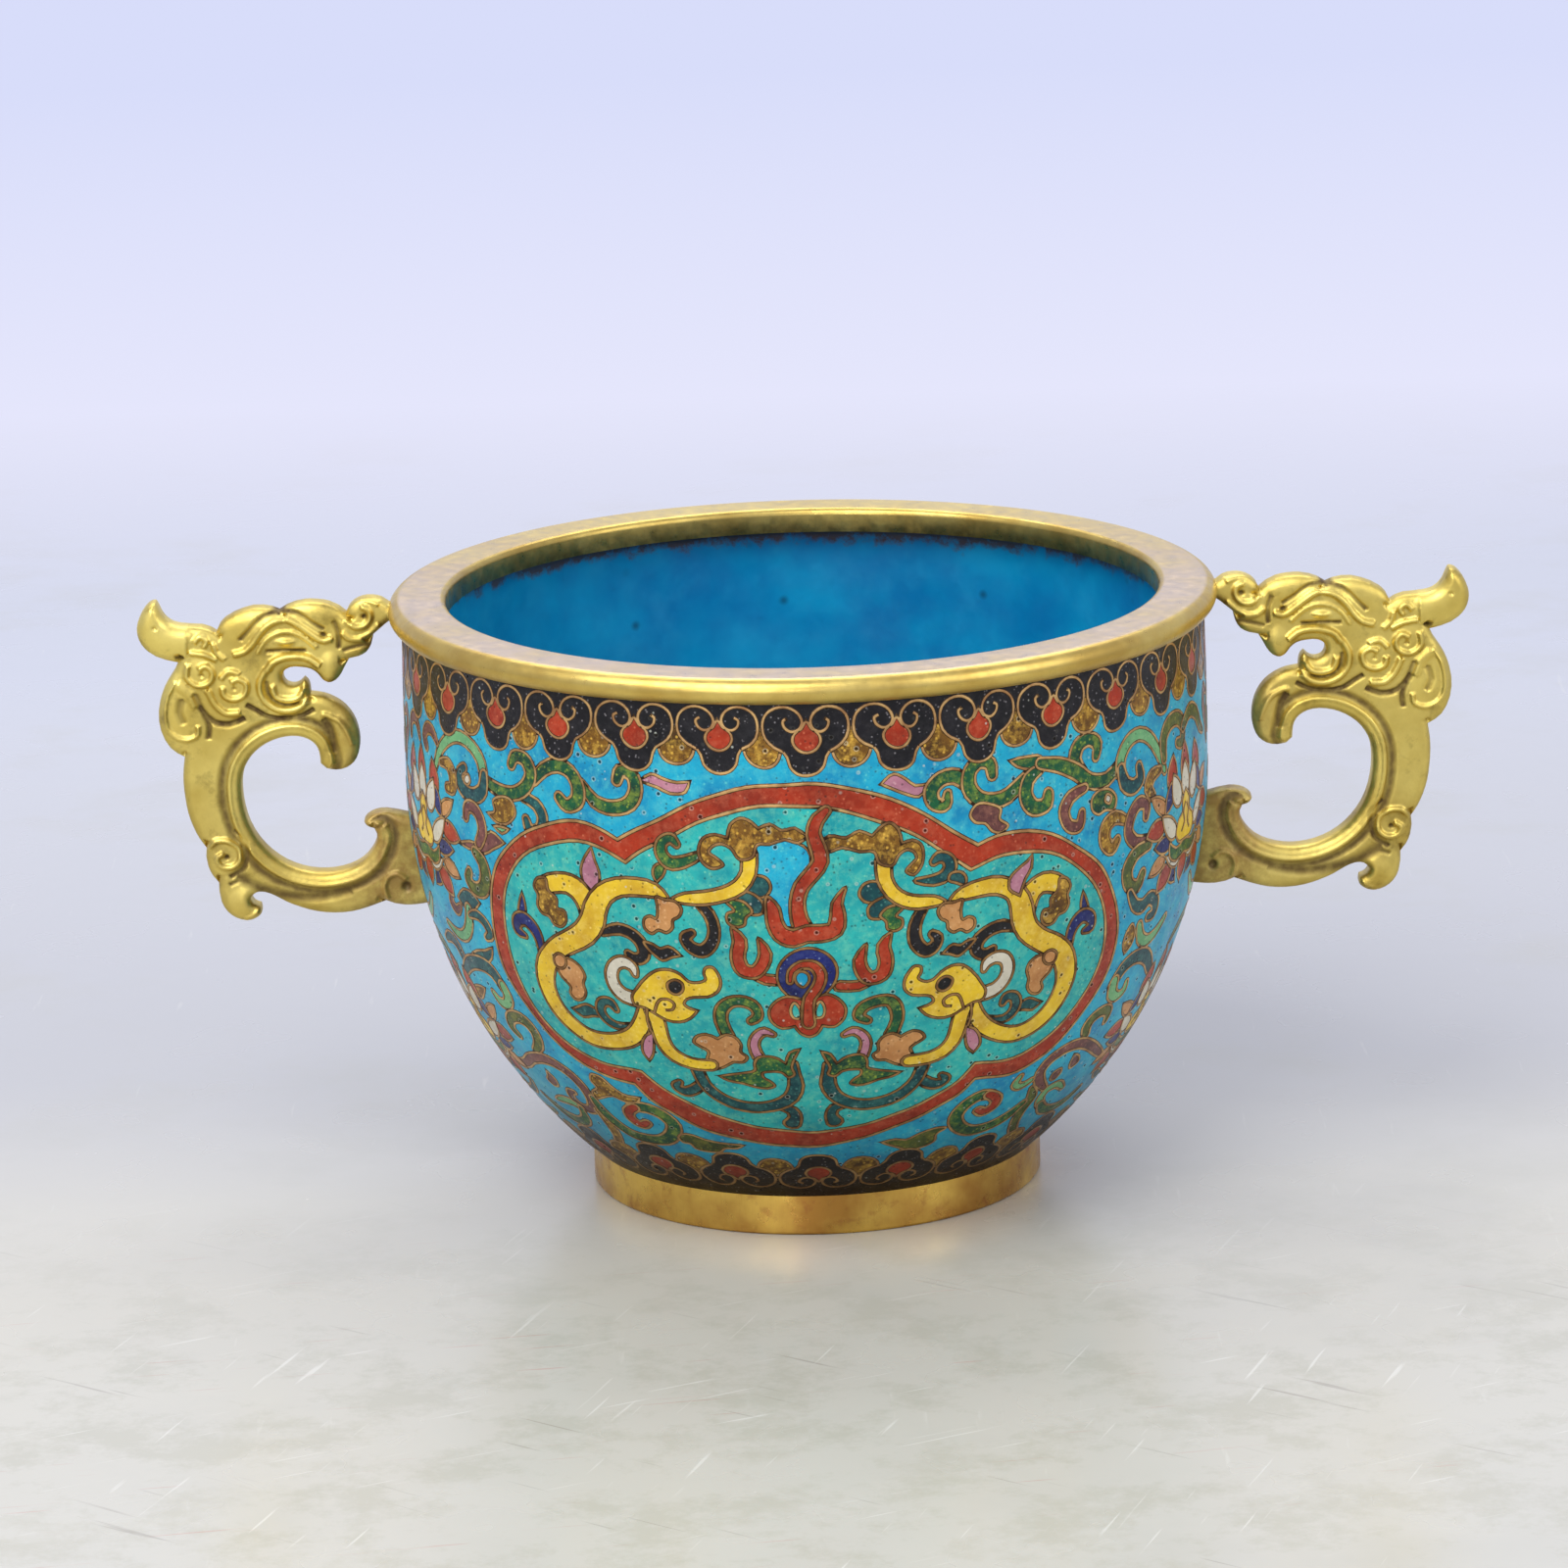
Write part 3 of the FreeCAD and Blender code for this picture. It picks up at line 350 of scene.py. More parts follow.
# Left half of the panel. The right half nearly mirrors it. Widths are the third value of a scroll.
LEAVES_LEFT = [
    ("blob", "sky", [(7.8, 19.6), (6.6, 18.2), (2.5, 17.8), (0.4, 19.0), (0.6, 23), (1.8, 26),
        (2.2, 29.4), (4.2, 29.2), (5.2, 26), (6.4, 24.6), (7.8, 22.4)]),
    ("blob", "green", [(19.4, 21.5), (20.4, 22.1), (20.6, 23.1), (20.1, 24.1, 1), (19.2, 23.2),
        (18.8, 22.0)]),
    ("scroll", "green", [(13.6, 20.1, 0.7), (16.2, 21.1, 1.2), (18.3, 21.2, 1.4), (19.3, 20, 1.3),
        (19.1, 18.7, 1.1), (18, 18.1, 1.0), (17.1, 18.9, 0.7)]),
    ("blob", "mauve", [(29.4, 20.6, 1), (28.9, 22.3), (28.3, 23.7), (28.4, 25.3), (29.3, 27.4, 1),
        (30.4, 26.4), (31.1, 25.0), (31.2, 23.6), (30.6, 22.2)]),
]
LEAVES_RIGHT = [
    ("scroll", "teal", [(16.2, 22.0, 0.8), (16.9, 21.4, 1.1), (18.0, 21.7, 1.2), (18.4, 22.8, 1.3),
        (17.8, 23.9, 1.3), (16.2, 24.5, 1.1), (13.8, 24.3, 0.5)]),
    ("blob", "teal", [(18.4, 23.8), (19.6, 23.6), (20.5, 24.6), (20.4, 25.5), (19.2, 25.1),
        (18.2, 24.6)]),
]
LEAF_OVER_RIGHT = [
    ("blob", "mauve", [(30.0, 23.2, 1), (29.9, 24.8), (29.0, 26.3), (28.3, 28.5, 1), (26.8, 27.4),
        (26.8, 26.0), (28.2, 24.6), (29.3, 23.9)]),
]
LEAVES = [
    ("scroll", "black", [(14.3, 26.6, 0.9), (13.2, 28, 1.1), (12.6, 30, 1.3), (13.1, 32, 1.5),
        (14.6, 33.1, 1.5), (16.2, 32.5, 1.3), (16.7, 31.3, 1.1), (15.8, 30.6, 0.8)]),
    ("blob", "teal", [(8.6, 24.6), (8.2, 23.2), (7, 22.5), (5.6, 22.9), (5.1, 24.1), (5.7, 25.2),
        (7, 25.4)]),
    ("blob", "teal", [(10.6, 25.3), (9, 24.6), (7.2, 25.0), (6.0, 26.2), (6.2, 27.5), (7.4, 27.8),
        (9, 26.9)]),
    ("blob", "green", [(11, 26.1), (9.6, 25.9), (8.2, 26.3), (7.4, 27.4), (8.2, 28.3), (8.4, 29.3),
        (9.5, 29.7), (10.7, 29.0), (10.7, 27.9), (9.8, 27.5)]),
    ("scroll", "black", [(28.6, 32.0, 0.7), (26.3, 31.1, 1.2), (24.2, 31.5, 1.3),
        (22.9, 32.8, 1.4), (22.8, 34.2, 1.3), (24, 35.0, 1.2), (25.1, 34.4, 0.8)]),
    ("blob", "black", [(22.6, 32.2), (21.2, 32.5), (20.4, 33.0), (19.2, 32.7), (17.5, 34.0, 1),
        (18.8, 34.2), (20.2, 34.7), (21.2, 34.0)]),
    ("blob", "navy", [(42.4, 31.1), (42.0, 29.6), (41.2, 28.0, 1), (40.9, 29.6), (41.2, 31.1)]),
    ("scroll", "navy", [(39.8, 36.8, 0.7), (39.5, 34.9, 1.1), (40.1, 33, 1.5), (41.6, 31.9, 1.7),
        (43.1, 32.6, 1.5), (43.3, 34, 1.2), (42.1, 34.4, 0.7)]),
    ("scroll", "green", [(12.0, 46.6, 1.5), (12.8, 44, 1.4), (12.5, 42, 1.4), (11.2, 40.7, 1.3),
        (9.2, 40.6, 1.3), (7.7, 41.6, 1.2), (7.5, 43, 1.1), (8.5, 43.7, 0.9)]),
    ("blob", "teal", [(31.2, 45.1), (32.2, 43.9), (33.6, 43.5), (35, 44.0), (36.3, 44.5, 1),
        (34.7, 45.7), (33, 45.4)]),
    ("scroll", "teal", [(26.2, 45.6, 0.5), (28.5, 46.3, 1.0), (30.3, 45.5, 1.2), (31, 44, 1.3),
        (30.3, 42.7, 1.2), (28.8, 42.5, 1.1), (28.2, 43.4, 0.8)]),
    ("scroll", "mauve", [(7.9, 50.2, 1.3), (8.4, 48, 1.2), (7.9, 46.4, 1.1), (6.7, 45.5, 1.0),
        (5.6, 46.0, 0.7)]),
    ("scroll", "teal", [(16.9, 55.6, 1.4), (18.6, 57.1, 1.6), (20.5, 57.6, 1.6), (21.5, 56.5, 1.3),
        (20.8, 55.7, 0.8)]),
    ("scroll", "teal", [(5.8, 60.3, 1.4), (3.8, 61.3, 1.5), (3.4, 63, 1.6), (4.0, 64.6, 2.3)]),
    ("scroll", "teal", [(3.2, 51.5, 1.1), (3.1, 53.5, 1.5), (2.9, 55.7, 1.9), (3.7, 58.2, 2.0),
        (5.9, 60.1, 2.0), (9, 60.9, 1.9), (12.4, 60.2, 1.9), (15, 58.3, 1.8), (16.7, 55.8, 1.7),
        (17.3, 53.0, 1.6)]),
    ("blob", "green", [(2.0, 48.6, 1), (3.6, 49.3), (4.3, 51.3, 1), (5.2, 50.4), (6.6, 49.9),
        (8.0, 50.2), (8.6, 51.4), (8.7, 52.8), (10.2, 53.4), (12, 53.7), (14.1, 54.0, 1),
        (12.6, 55.0), (10.6, 55.6), (9.0, 56.3), (7.3, 56.5), (6.1, 55.8), (6.7, 54.9),
        (7.6, 54.2), (7.7, 53.3), (6.6, 52.9), (5.0, 53.0), (3.8, 54.0), (3.1, 53.6), (3.4, 52.0),
        (3.0, 50.6)]),
]
DRAGON = [
    ("scroll", "white", [(24.6, 41.3, 2.0), (26.4, 40.9, 1.9), (27.7, 39.6, 1.8), (28, 37.8, 1.7),
        (27.2, 36.3, 1.5), (25.7, 35.8, 1.4), (24.5, 36.5, 1.1), (24.3, 37.4, 0.7)]),
    ("scroll", "yellow", [(37.6, 26.9, 1.9), (36.0, 26.2, 2.3), (33.8, 25.8, 2.4),
        (31.8, 26.6, 2.6), (30.4, 28.4, 2.9), (30.0, 29.8, 3.0)]),
    ("scroll", "yellow", [(18.6, 26.0, 0.4), (20.4, 25.2, 1.6), (23, 24.9, 2.0), (25.6, 25.2, 2.1),
        (27.9, 26.6, 2.4), (29.4, 28.8, 3.0), (29.9, 30.4, 3.2), (31.4, 32.4, 3.1),
        (33.8, 34.0, 2.9), (36.8, 35.7, 3.0), (39.1, 38.0, 3.2), (40.1, 40.8, 3.2),
        (39.6, 44.0, 2.9), (37.9, 46.8, 2.7), (35.3, 48.8, 2.6), (32, 49.5, 2.5),
        (28.8, 49.0, 2.5), (26, 47.2, 2.4), (24.2, 44.6, 2.2), (23.4, 42.4, 1.8)]),
    ("scroll", "yellow", [(17.9, 26.2, 0.5), (16.2, 25.9, 1.2), (13.6, 25.8, 1.5),
        (11.1, 25.3, 1.6), (9.1, 24.1, 1.7), (8.0, 22.2, 1.7), (8.0, 19.8, 1.8)]),
    ("blob", "amber", [(0.3, 17.3, 1), (1.9, 16.2), (3.7, 16.6), (5.3, 15.9), (6.8, 16.5, 1),
        (7.6, 15.7), (8.9, 15.2), (10.2, 16.1), (10.6, 17.8, 1), (12.1, 17.5), (13.6, 18.1),
        (14.2, 19.6), (13.7, 21.2), (12.5, 22.0), (11.2, 21.4), (12.1, 20.5), (12.9, 19.9),
        (12.3, 19.0), (11.2, 18.7), (10.3, 19.1), (9.2, 20.5), (7.5, 20.1), (7.0, 18.6),
        (5.3, 18.5), (3.3, 17.8), (1.5, 18.1)]),
    ("blob", "peach", [(20.3, 26.0), (18.9, 26.3), (17.7, 26.3), (16.8, 27.3), (17.3, 28.5),
        (18.1, 29.0), (18.3, 30.1), (19.2, 30.8), (20.3, 30.5), (21.3, 31.0), (22.4, 30.2),
        (22.3, 29.0), (21.3, 28.6), (20.6, 28.9), (20.2, 27.6)]),
    ("blob", "amber", [(36.9, 25.6), (38.3, 25.9), (38.9, 27), (38.4, 28.1), (38.7, 29.5),
        (38.1, 30.6), (37, 30.9), (36.3, 31.9), (35, 32.1), (34.1, 31.1), (34.3, 29.7),
        (35.4, 29.5), (35.4, 28.2), (36.6, 27.2)]),
    ("blob", "peach", [(36.6, 39.6), (36.9, 37.2), (35.6, 36.6), (34, 36.8), (32.8, 37.7),
        (32.4, 39), (33, 40.2), (32.9, 41.6), (33.9, 42.8), (35.2, 42.9), (35.8, 42), (35.4, 41.0),
        (36.0, 40.2)]),
    ("blob", "peach", [(36.3, 36.1), (37.4, 36.8), (37.2, 38.0), (36.2, 38.3), (35.2, 37.5),
        (35.3, 36.5)]),
    ("blob", "mauve", [(22.9, 46.4, 1), (24.4, 47.2), (25.4, 48.9), (25.6, 50.6), (24.9, 51.9, 1),
        (23.9, 50.6), (23.3, 48.7)]),
    ("blob", "peach", [(15.2, 52.6), (15.6, 51.0), (15.2, 49.2), (16.2, 48.4), (17.0, 47.6),
        (16.5, 46.6), (15.2, 46.2), (13.6, 47.0, 1), (12.4, 46.3), (11, 46.7), (10.2, 48),
        (10.3, 49.4), (9.5, 50.2), (10.1, 51.3), (11.6, 51.4), (12.9, 52.2)]),
    ("scroll", "yellow", [(22.6, 42.6, 2.0), (22.1, 44.6, 2.2), (21.9, 46.6, 2.2),
        (21.4, 48.8, 2.1), (20.1, 50.6, 2.0), (18.0, 51.7, 1.9), (15.0, 51.9, 1.7)]),
    ("blob", "yellow", [(14.5, 36.4), (14.2, 35.6), (13.2, 35.4), (12.4, 36.4), (12.2, 37.8),
        (12.8, 39.2), (14.2, 40.1), (16.2, 40.2), (17.3, 40.5), (17.7, 41.1), (16.9, 41.9),
        (15.8, 42.3, 1), (16.9, 43.5), (18.6, 44.2), (20.6, 44.1), (22.0, 43.4), (23.6, 42.5),
        (25.0, 42.2), (25.2, 40.8), (24.4, 39.6), (22.6, 37.3), (21.2, 36.2), (19.4, 36.0),
        (17.9, 36.7), (16.9, 37.7), (15.5, 37.9), (14.3, 37.3)]),
    ("wire", None, [(22.3, 43.0), (21.8, 41.6), (21.1, 40.7), (20.0, 40.6), (19.2, 41.3),
        (19.6, 42.2), (20.6, 42.4)]),
    ("wire", None, [(23.3, 42.6), (23.6, 44.6), (23.3, 46.4)]),
    ("blob", "black", [(18.8, 37.5), (19.9, 38.1), (19.8, 39.2), (18.8, 39.7), (17.8, 39.1),
        (17.8, 38.1)]),
]
PEARL_CENTRE = (-0.5, 36.4)
PEARL_RADIUS = 3.9
FLAMES = [
    ("scroll", "red", [(2.2, 14.2, 0.9), (1.1, 15.2, 1.3), (0.4, 17, 1.4), (0.9, 19, 1.6),
        (1.1, 20.6, 1.7), (0, 22.2, 1.6), (-1.4, 24, 1.5), (-1.9, 26, 1.5), (-1.6, 28.4, 1.8),
        (-0.9, 30, 2.2)]),
    ("scroll", "red", [(-5.5, 25.4, 0.5), (-4.9, 27, 1.4), (-4.7, 28.6, 1.6), (-3.9, 30.3, 1.9),
        (-2.2, 31, 2.1), (-0.5, 30.5, 2.1), (1.4, 30.5, 2.1), (3.0, 30, 1.9), (3.4, 28, 1.5),
        (3.3, 26.4, 1.1), (4.3, 24.6, 0.4)]),
]
SIDE_FLAME = [
    ("scroll", "red", [(7.4, 36.2, 1.3), (5.8, 37.1, 1.2), (3.2, 37.0, 1.2)]),
    ("scroll", "red", [(9.8, 29.9, 0.4), (8.9, 31.5, 1.4), (9.3, 34, 1.5), (8.7, 35.8, 1.6),
        (7.3, 36.1, 1.5), (6.1, 34.8, 1.4), (5.7, 33.2, 1.3), (6.4, 31.2, 0.4)]),
]
CLOUD_KNOT = [(2.6, 39.6), (4.2, 40.5), (5.3, 42.2), (5.0, 43.9), (3.7, 45.0), (2.0, 44.6, 1),
              (1.3, 45.8), (0, 46.4)]
KNOT_HOLE = [(1.7, 40.6), (2.3, 41.8), (1.9, 43.2), (1.2, 43.2), (1.0, 41.8)]
PEARL_CURL = [
    ("scroll", "red", [(-2.6, 37.2, 0.7), (-2.4, 35.8, 0.8), (-1.2, 34.9, 0.9), (0.4, 35.1, 1.0),
        (1.3, 36.6, 1.1), (0.9, 38.4, 1.2), (-0.2, 40.0, 1.2), (-0.5, 42.2, 1.3),
        (-0.5, 44.0, 1.6)]),
    ("blob", "sky", [(-1.3, 35.8), (-0.3, 36.2), (-0.1, 37.2), (-0.9, 38.2), (-1.8, 37.4),
        (-1.9, 36.4)]),
]

# Ground beside the panel, out to the handle, as seen on the left and on the right
VINES_LEFT = [
    ("blob", "mauve", [(21.8, 10.9, 1), (20.2, 9.9), (18.4, 10.6), (16.9, 11.0), (15.3, 10.8, 1),
        (15.9, 12.2), (17.8, 12.4), (19.4, 11.6)]),
    ("scroll", "green", [(30.2, 12.2, 0.9), (28.4, 14.4, 1.4), (25.7, 15.0, 1.5),
        (23.2, 14.1, 1.6), (22.3, 12.1, 1.5), (22.9, 10.3, 1.4), (24.4, 10.0, 1.3),
        (25.0, 11.4, 1.0)]),
    ("scroll", "green", [(38.2, 12.6, 1.2), (36.3, 11.1, 1.5), (34, 10.4, 1.6), (31.8, 11.0, 1.6),
        (30.7, 12.9, 1.6), (31.1, 14.8, 1.6), (32.7, 15.6, 1.4), (33.9, 14.6, 1.1)]),
    ("scroll", "teal", [(40.3, 15.1, 1.0), (38, 15.8, 1.3), (36.9, 17.4, 1.4), (37.5, 19.2, 1.4),
        (39.2, 19.4, 1.2), (39.8, 18.1, 0.9)]),
    ("scroll", "green", [(46.9, 14.3, 1.2), (44.5, 15, 1.4), (42, 15.1, 1.5), (39.7, 13.8, 1.5),
        (38.6, 11.8, 1.5), (39.5, 10.0, 1.5), (41.3, 9.9, 1.3), (42, 11.2, 1.0)]),
    ("blob", "amber", [(47, 18.5, 1), (45.4, 17.9), (45.7, 16.6), (44.2, 15.8), (42.3, 16.0),
        (41.6, 17.6), (42.9, 19.1), (44.5, 19.5), (45.8, 19.1)]),
    ("blob", "leaf", [(45.9, 20.0, 1), (44.4, 19.8), (42.8, 19.9, 1), (44.2, 20.7)]),
    ("scroll", "leaf", [(60.3, 14.8, 0.9), (58.5, 12, 1.3), (55.8, 10.1, 1.5), (52.6, 9.5, 1.5),
        (49.9, 10.2, 1.5), (48.1, 12, 1.5), (47.6, 14.2, 1.4)]),
    ("scroll", "teal", [(47.6, 13.4, 1.0), (47.9, 15.6, 1.7), (49.5, 16.8, 1.8), (51.5, 16.8, 1.7),
        (53, 15.6, 1.5), (53, 14.2, 1.2), (51.9, 13.5, 1.0)]),
    ("blob", "white", [(51.0, 14.2), (51.8, 14.5), (52.0, 15.4), (51.3, 15.7), (50.6, 15.1)]),
    ("scroll", "amber", [(58.4, 13.7, 0.8), (56.3, 13.5, 1.3), (54.9, 14.9, 1.6),
        (55.1, 16.6, 1.5), (56.6, 16.8, 1.0)]),
    ("scroll", "rust", [(59.4, 11.4, 0.7), (60.9, 10.1, 1.2), (62.8, 10.2, 1.3), (63.9, 11.4, 1.3),
        (63.2, 12.6, 1.0)]),
    ("scroll", "rust", [(66.2, 12.0, 0.8), (67.4, 10.4, 1.2), (69.2, 10.1, 1.3), (70.8, 11.2, 1.2),
        (71, 12.9, 0.8)]),
    ("blob", "rust", [(54.6, 23.8, 1), (51.3, 23.2), (49.0, 23.2), (47.8, 22.0), (46.3, 20.9),
        (43.8, 21.9, 1), (46.0, 23.2), (48, 24.4), (50.3, 24.4)]),
    ("scroll", "rust", [(49.2, 23.2, 1.3), (48.2, 21.5, 1.5), (48.6, 19.7, 1.5), (50, 18.6, 1.4),
        (51.6, 18.7, 1.3), (52, 20, 1.0)]),
    ("scroll", "olive", [(50.4, 24.4, 1.0), (48.9, 25.6, 1.7), (48.6, 27.8, 1.9),
        (49.8, 29.5, 1.9), (51.8, 29.7, 1.7), (52.9, 28.5, 1.4), (52.3, 27.5, 1.0)]),
    ("blob", "teal", [(51.0, 31.7, 1), (52.7, 30.6), (54.9, 30.5), (57, 31.9, 1), (55.5, 33.2),
        (53, 33.2)]),
    ("scroll", "rust", [(59.0, 31.7, 0.7), (59.2, 33.2, 1.2), (58, 34.0, 1.2), (56.8, 33.3, 0.8)]),
    ("scroll", "leaf", [(62.8, 37.1, 0.8), (60.5, 38.0, 1.3), (58.3, 38.0, 1.5), (56.2, 36.9, 1.6),
        (54.9, 35.0, 1.6), (54.4, 33.2, 1.3)]),
    ("scroll", "teal", [(54.4, 34.2, 0.7), (52.3, 33.8, 1.2), (50.7, 34.7, 1.3), (50.2, 36.1, 1.2),
        (51.3, 36.9, 0.8)]),
    ("blob", "teal", [(50.4, 38.1, 1), (52.6, 39.1), (54.9, 39.5), (57.2, 40.9), (55.1, 41.9),
        (53.1, 41.2), (51.3, 40.1)]),
    ("scroll", "teal", [(66.5, 40.5, 0.8), (64.2, 39.5, 1.5), (62, 40, 1.7), (60.8, 41.7, 1.7),
        (60.6, 43.6, 1.2)]),
    ("scroll", "teal", [(64, 45.9, 0.8), (60.6, 43.4, 1.7), (57.6, 42.0, 2.0), (54.8, 41.6, 2.1),
        (52.2, 42.5, 2.1), (50.6, 44.7, 1.9)]),
    ("scroll", "leaf", [(50.5, 44.3, 1.6), (50.2, 46.4, 1.8), (51.5, 47.6, 1.6), (53.2, 47.3, 1.4),
        (54.2, 46.1, 0.9)]),
    ("blob", "amber", [(56.6, 46.0, 1), (59.3, 46.2), (61.8, 47.3), (60.3, 48.6), (58.6, 47.8)]),
    ("scroll", "olive", [(49, 55.4, 1.1), (47.1, 53.8, 1.8), (46.6, 51.6, 2.0), (47.9, 49.8, 2.0),
        (50, 49.4, 1.8), (52.2, 50.3, 1.7), (52.9, 52, 1.5), (51.8, 53.2, 1.0)]),
    ("scroll", "rust", [(58.5, 60.2, 1.2), (54.9, 59.5, 1.6), (52.2, 57.9, 1.7), (48.5, 56.7, 1.8),
        (44.9, 56.9, 1.8), (42.2, 58.4, 1.9), (40.8, 60.7, 2.0), (40.6, 63.9, 2.0),
        (42.2, 66.4, 1.9), (44.5, 66.4, 1.7), (45.9, 64.7, 1.5), (45.4, 63, 1.2),
        (44.2, 62.8, 0.8)]),
    ("blob", "rust", [(49, 59.2, 1), (47.6, 60.8), (48.1, 62.5), (49.7, 62.9), (50.6, 61.8),
        (49.7, 60.8)]),
    ("scroll", "leaf", [(52.6, 67.2, 0.5), (50, 66.5, 1.5), (47.6, 66.1, 1.7), (45.4, 67.0, 1.5)]),
    ("scroll", "green", [(45.6, 66.9, 1.0), (46.3, 69.7, 1.8), (48.8, 71.9, 2.4),
        (52.2, 71.8, 2.4), (55.8, 69.6, 1.6), (58, 67.4, 0.7)]),
    ("blob", "amber", [(37.9, 58.4), (37.2, 57.0), (35.2, 57.3), (34, 58.9), (32.5, 60.3),
        (29.1, 60.5, 1), (30.4, 62.0), (32.8, 62.2), (34.8, 61.4), (36.8, 62.0), (38.9, 62.6),
        (38.9, 61.1), (37.3, 59.9)]),
    ("scroll", "amber", [(40.5, 66.2, 1.2), (40.0, 70, 1.9), (40.6, 73.5, 1.7), (42.6, 77, 1.5)]),
    ("scroll", "green", [(39.7, 62.8, 1.2), (39.3, 65.4, 2.0), (38.2, 68.3, 2.4), (35.8, 71, 2.5),
        (32.6, 72.2, 2.5), (28.9, 71.8, 2.5), (26.3, 69.6, 2.5), (25.1, 66.5, 2.4),
        (26.5, 64, 2.2), (29.2, 62.9, 2.1), (31.6, 63.3, 1.9)]),
    ("scroll", "red", [(31.2, 63.3, 1.6), (33, 64.8, 1.9), (33, 66.8, 1.9), (31.4, 68.0, 1.7),
        (30, 67.0, 1.3)]),
    ("blob", "olive", [(25.2, 69.9), (24.0, 68.9), (22.0, 69.0), (20.2, 69.9), (17.6, 70.6),
        (13.2, 71.2, 1), (14.8, 72.2), (17.2, 72.3), (18.3, 73.5), (20.6, 73.8), (22.7, 73.1),
        (23.3, 71.8), (24.8, 71.4)]),
]
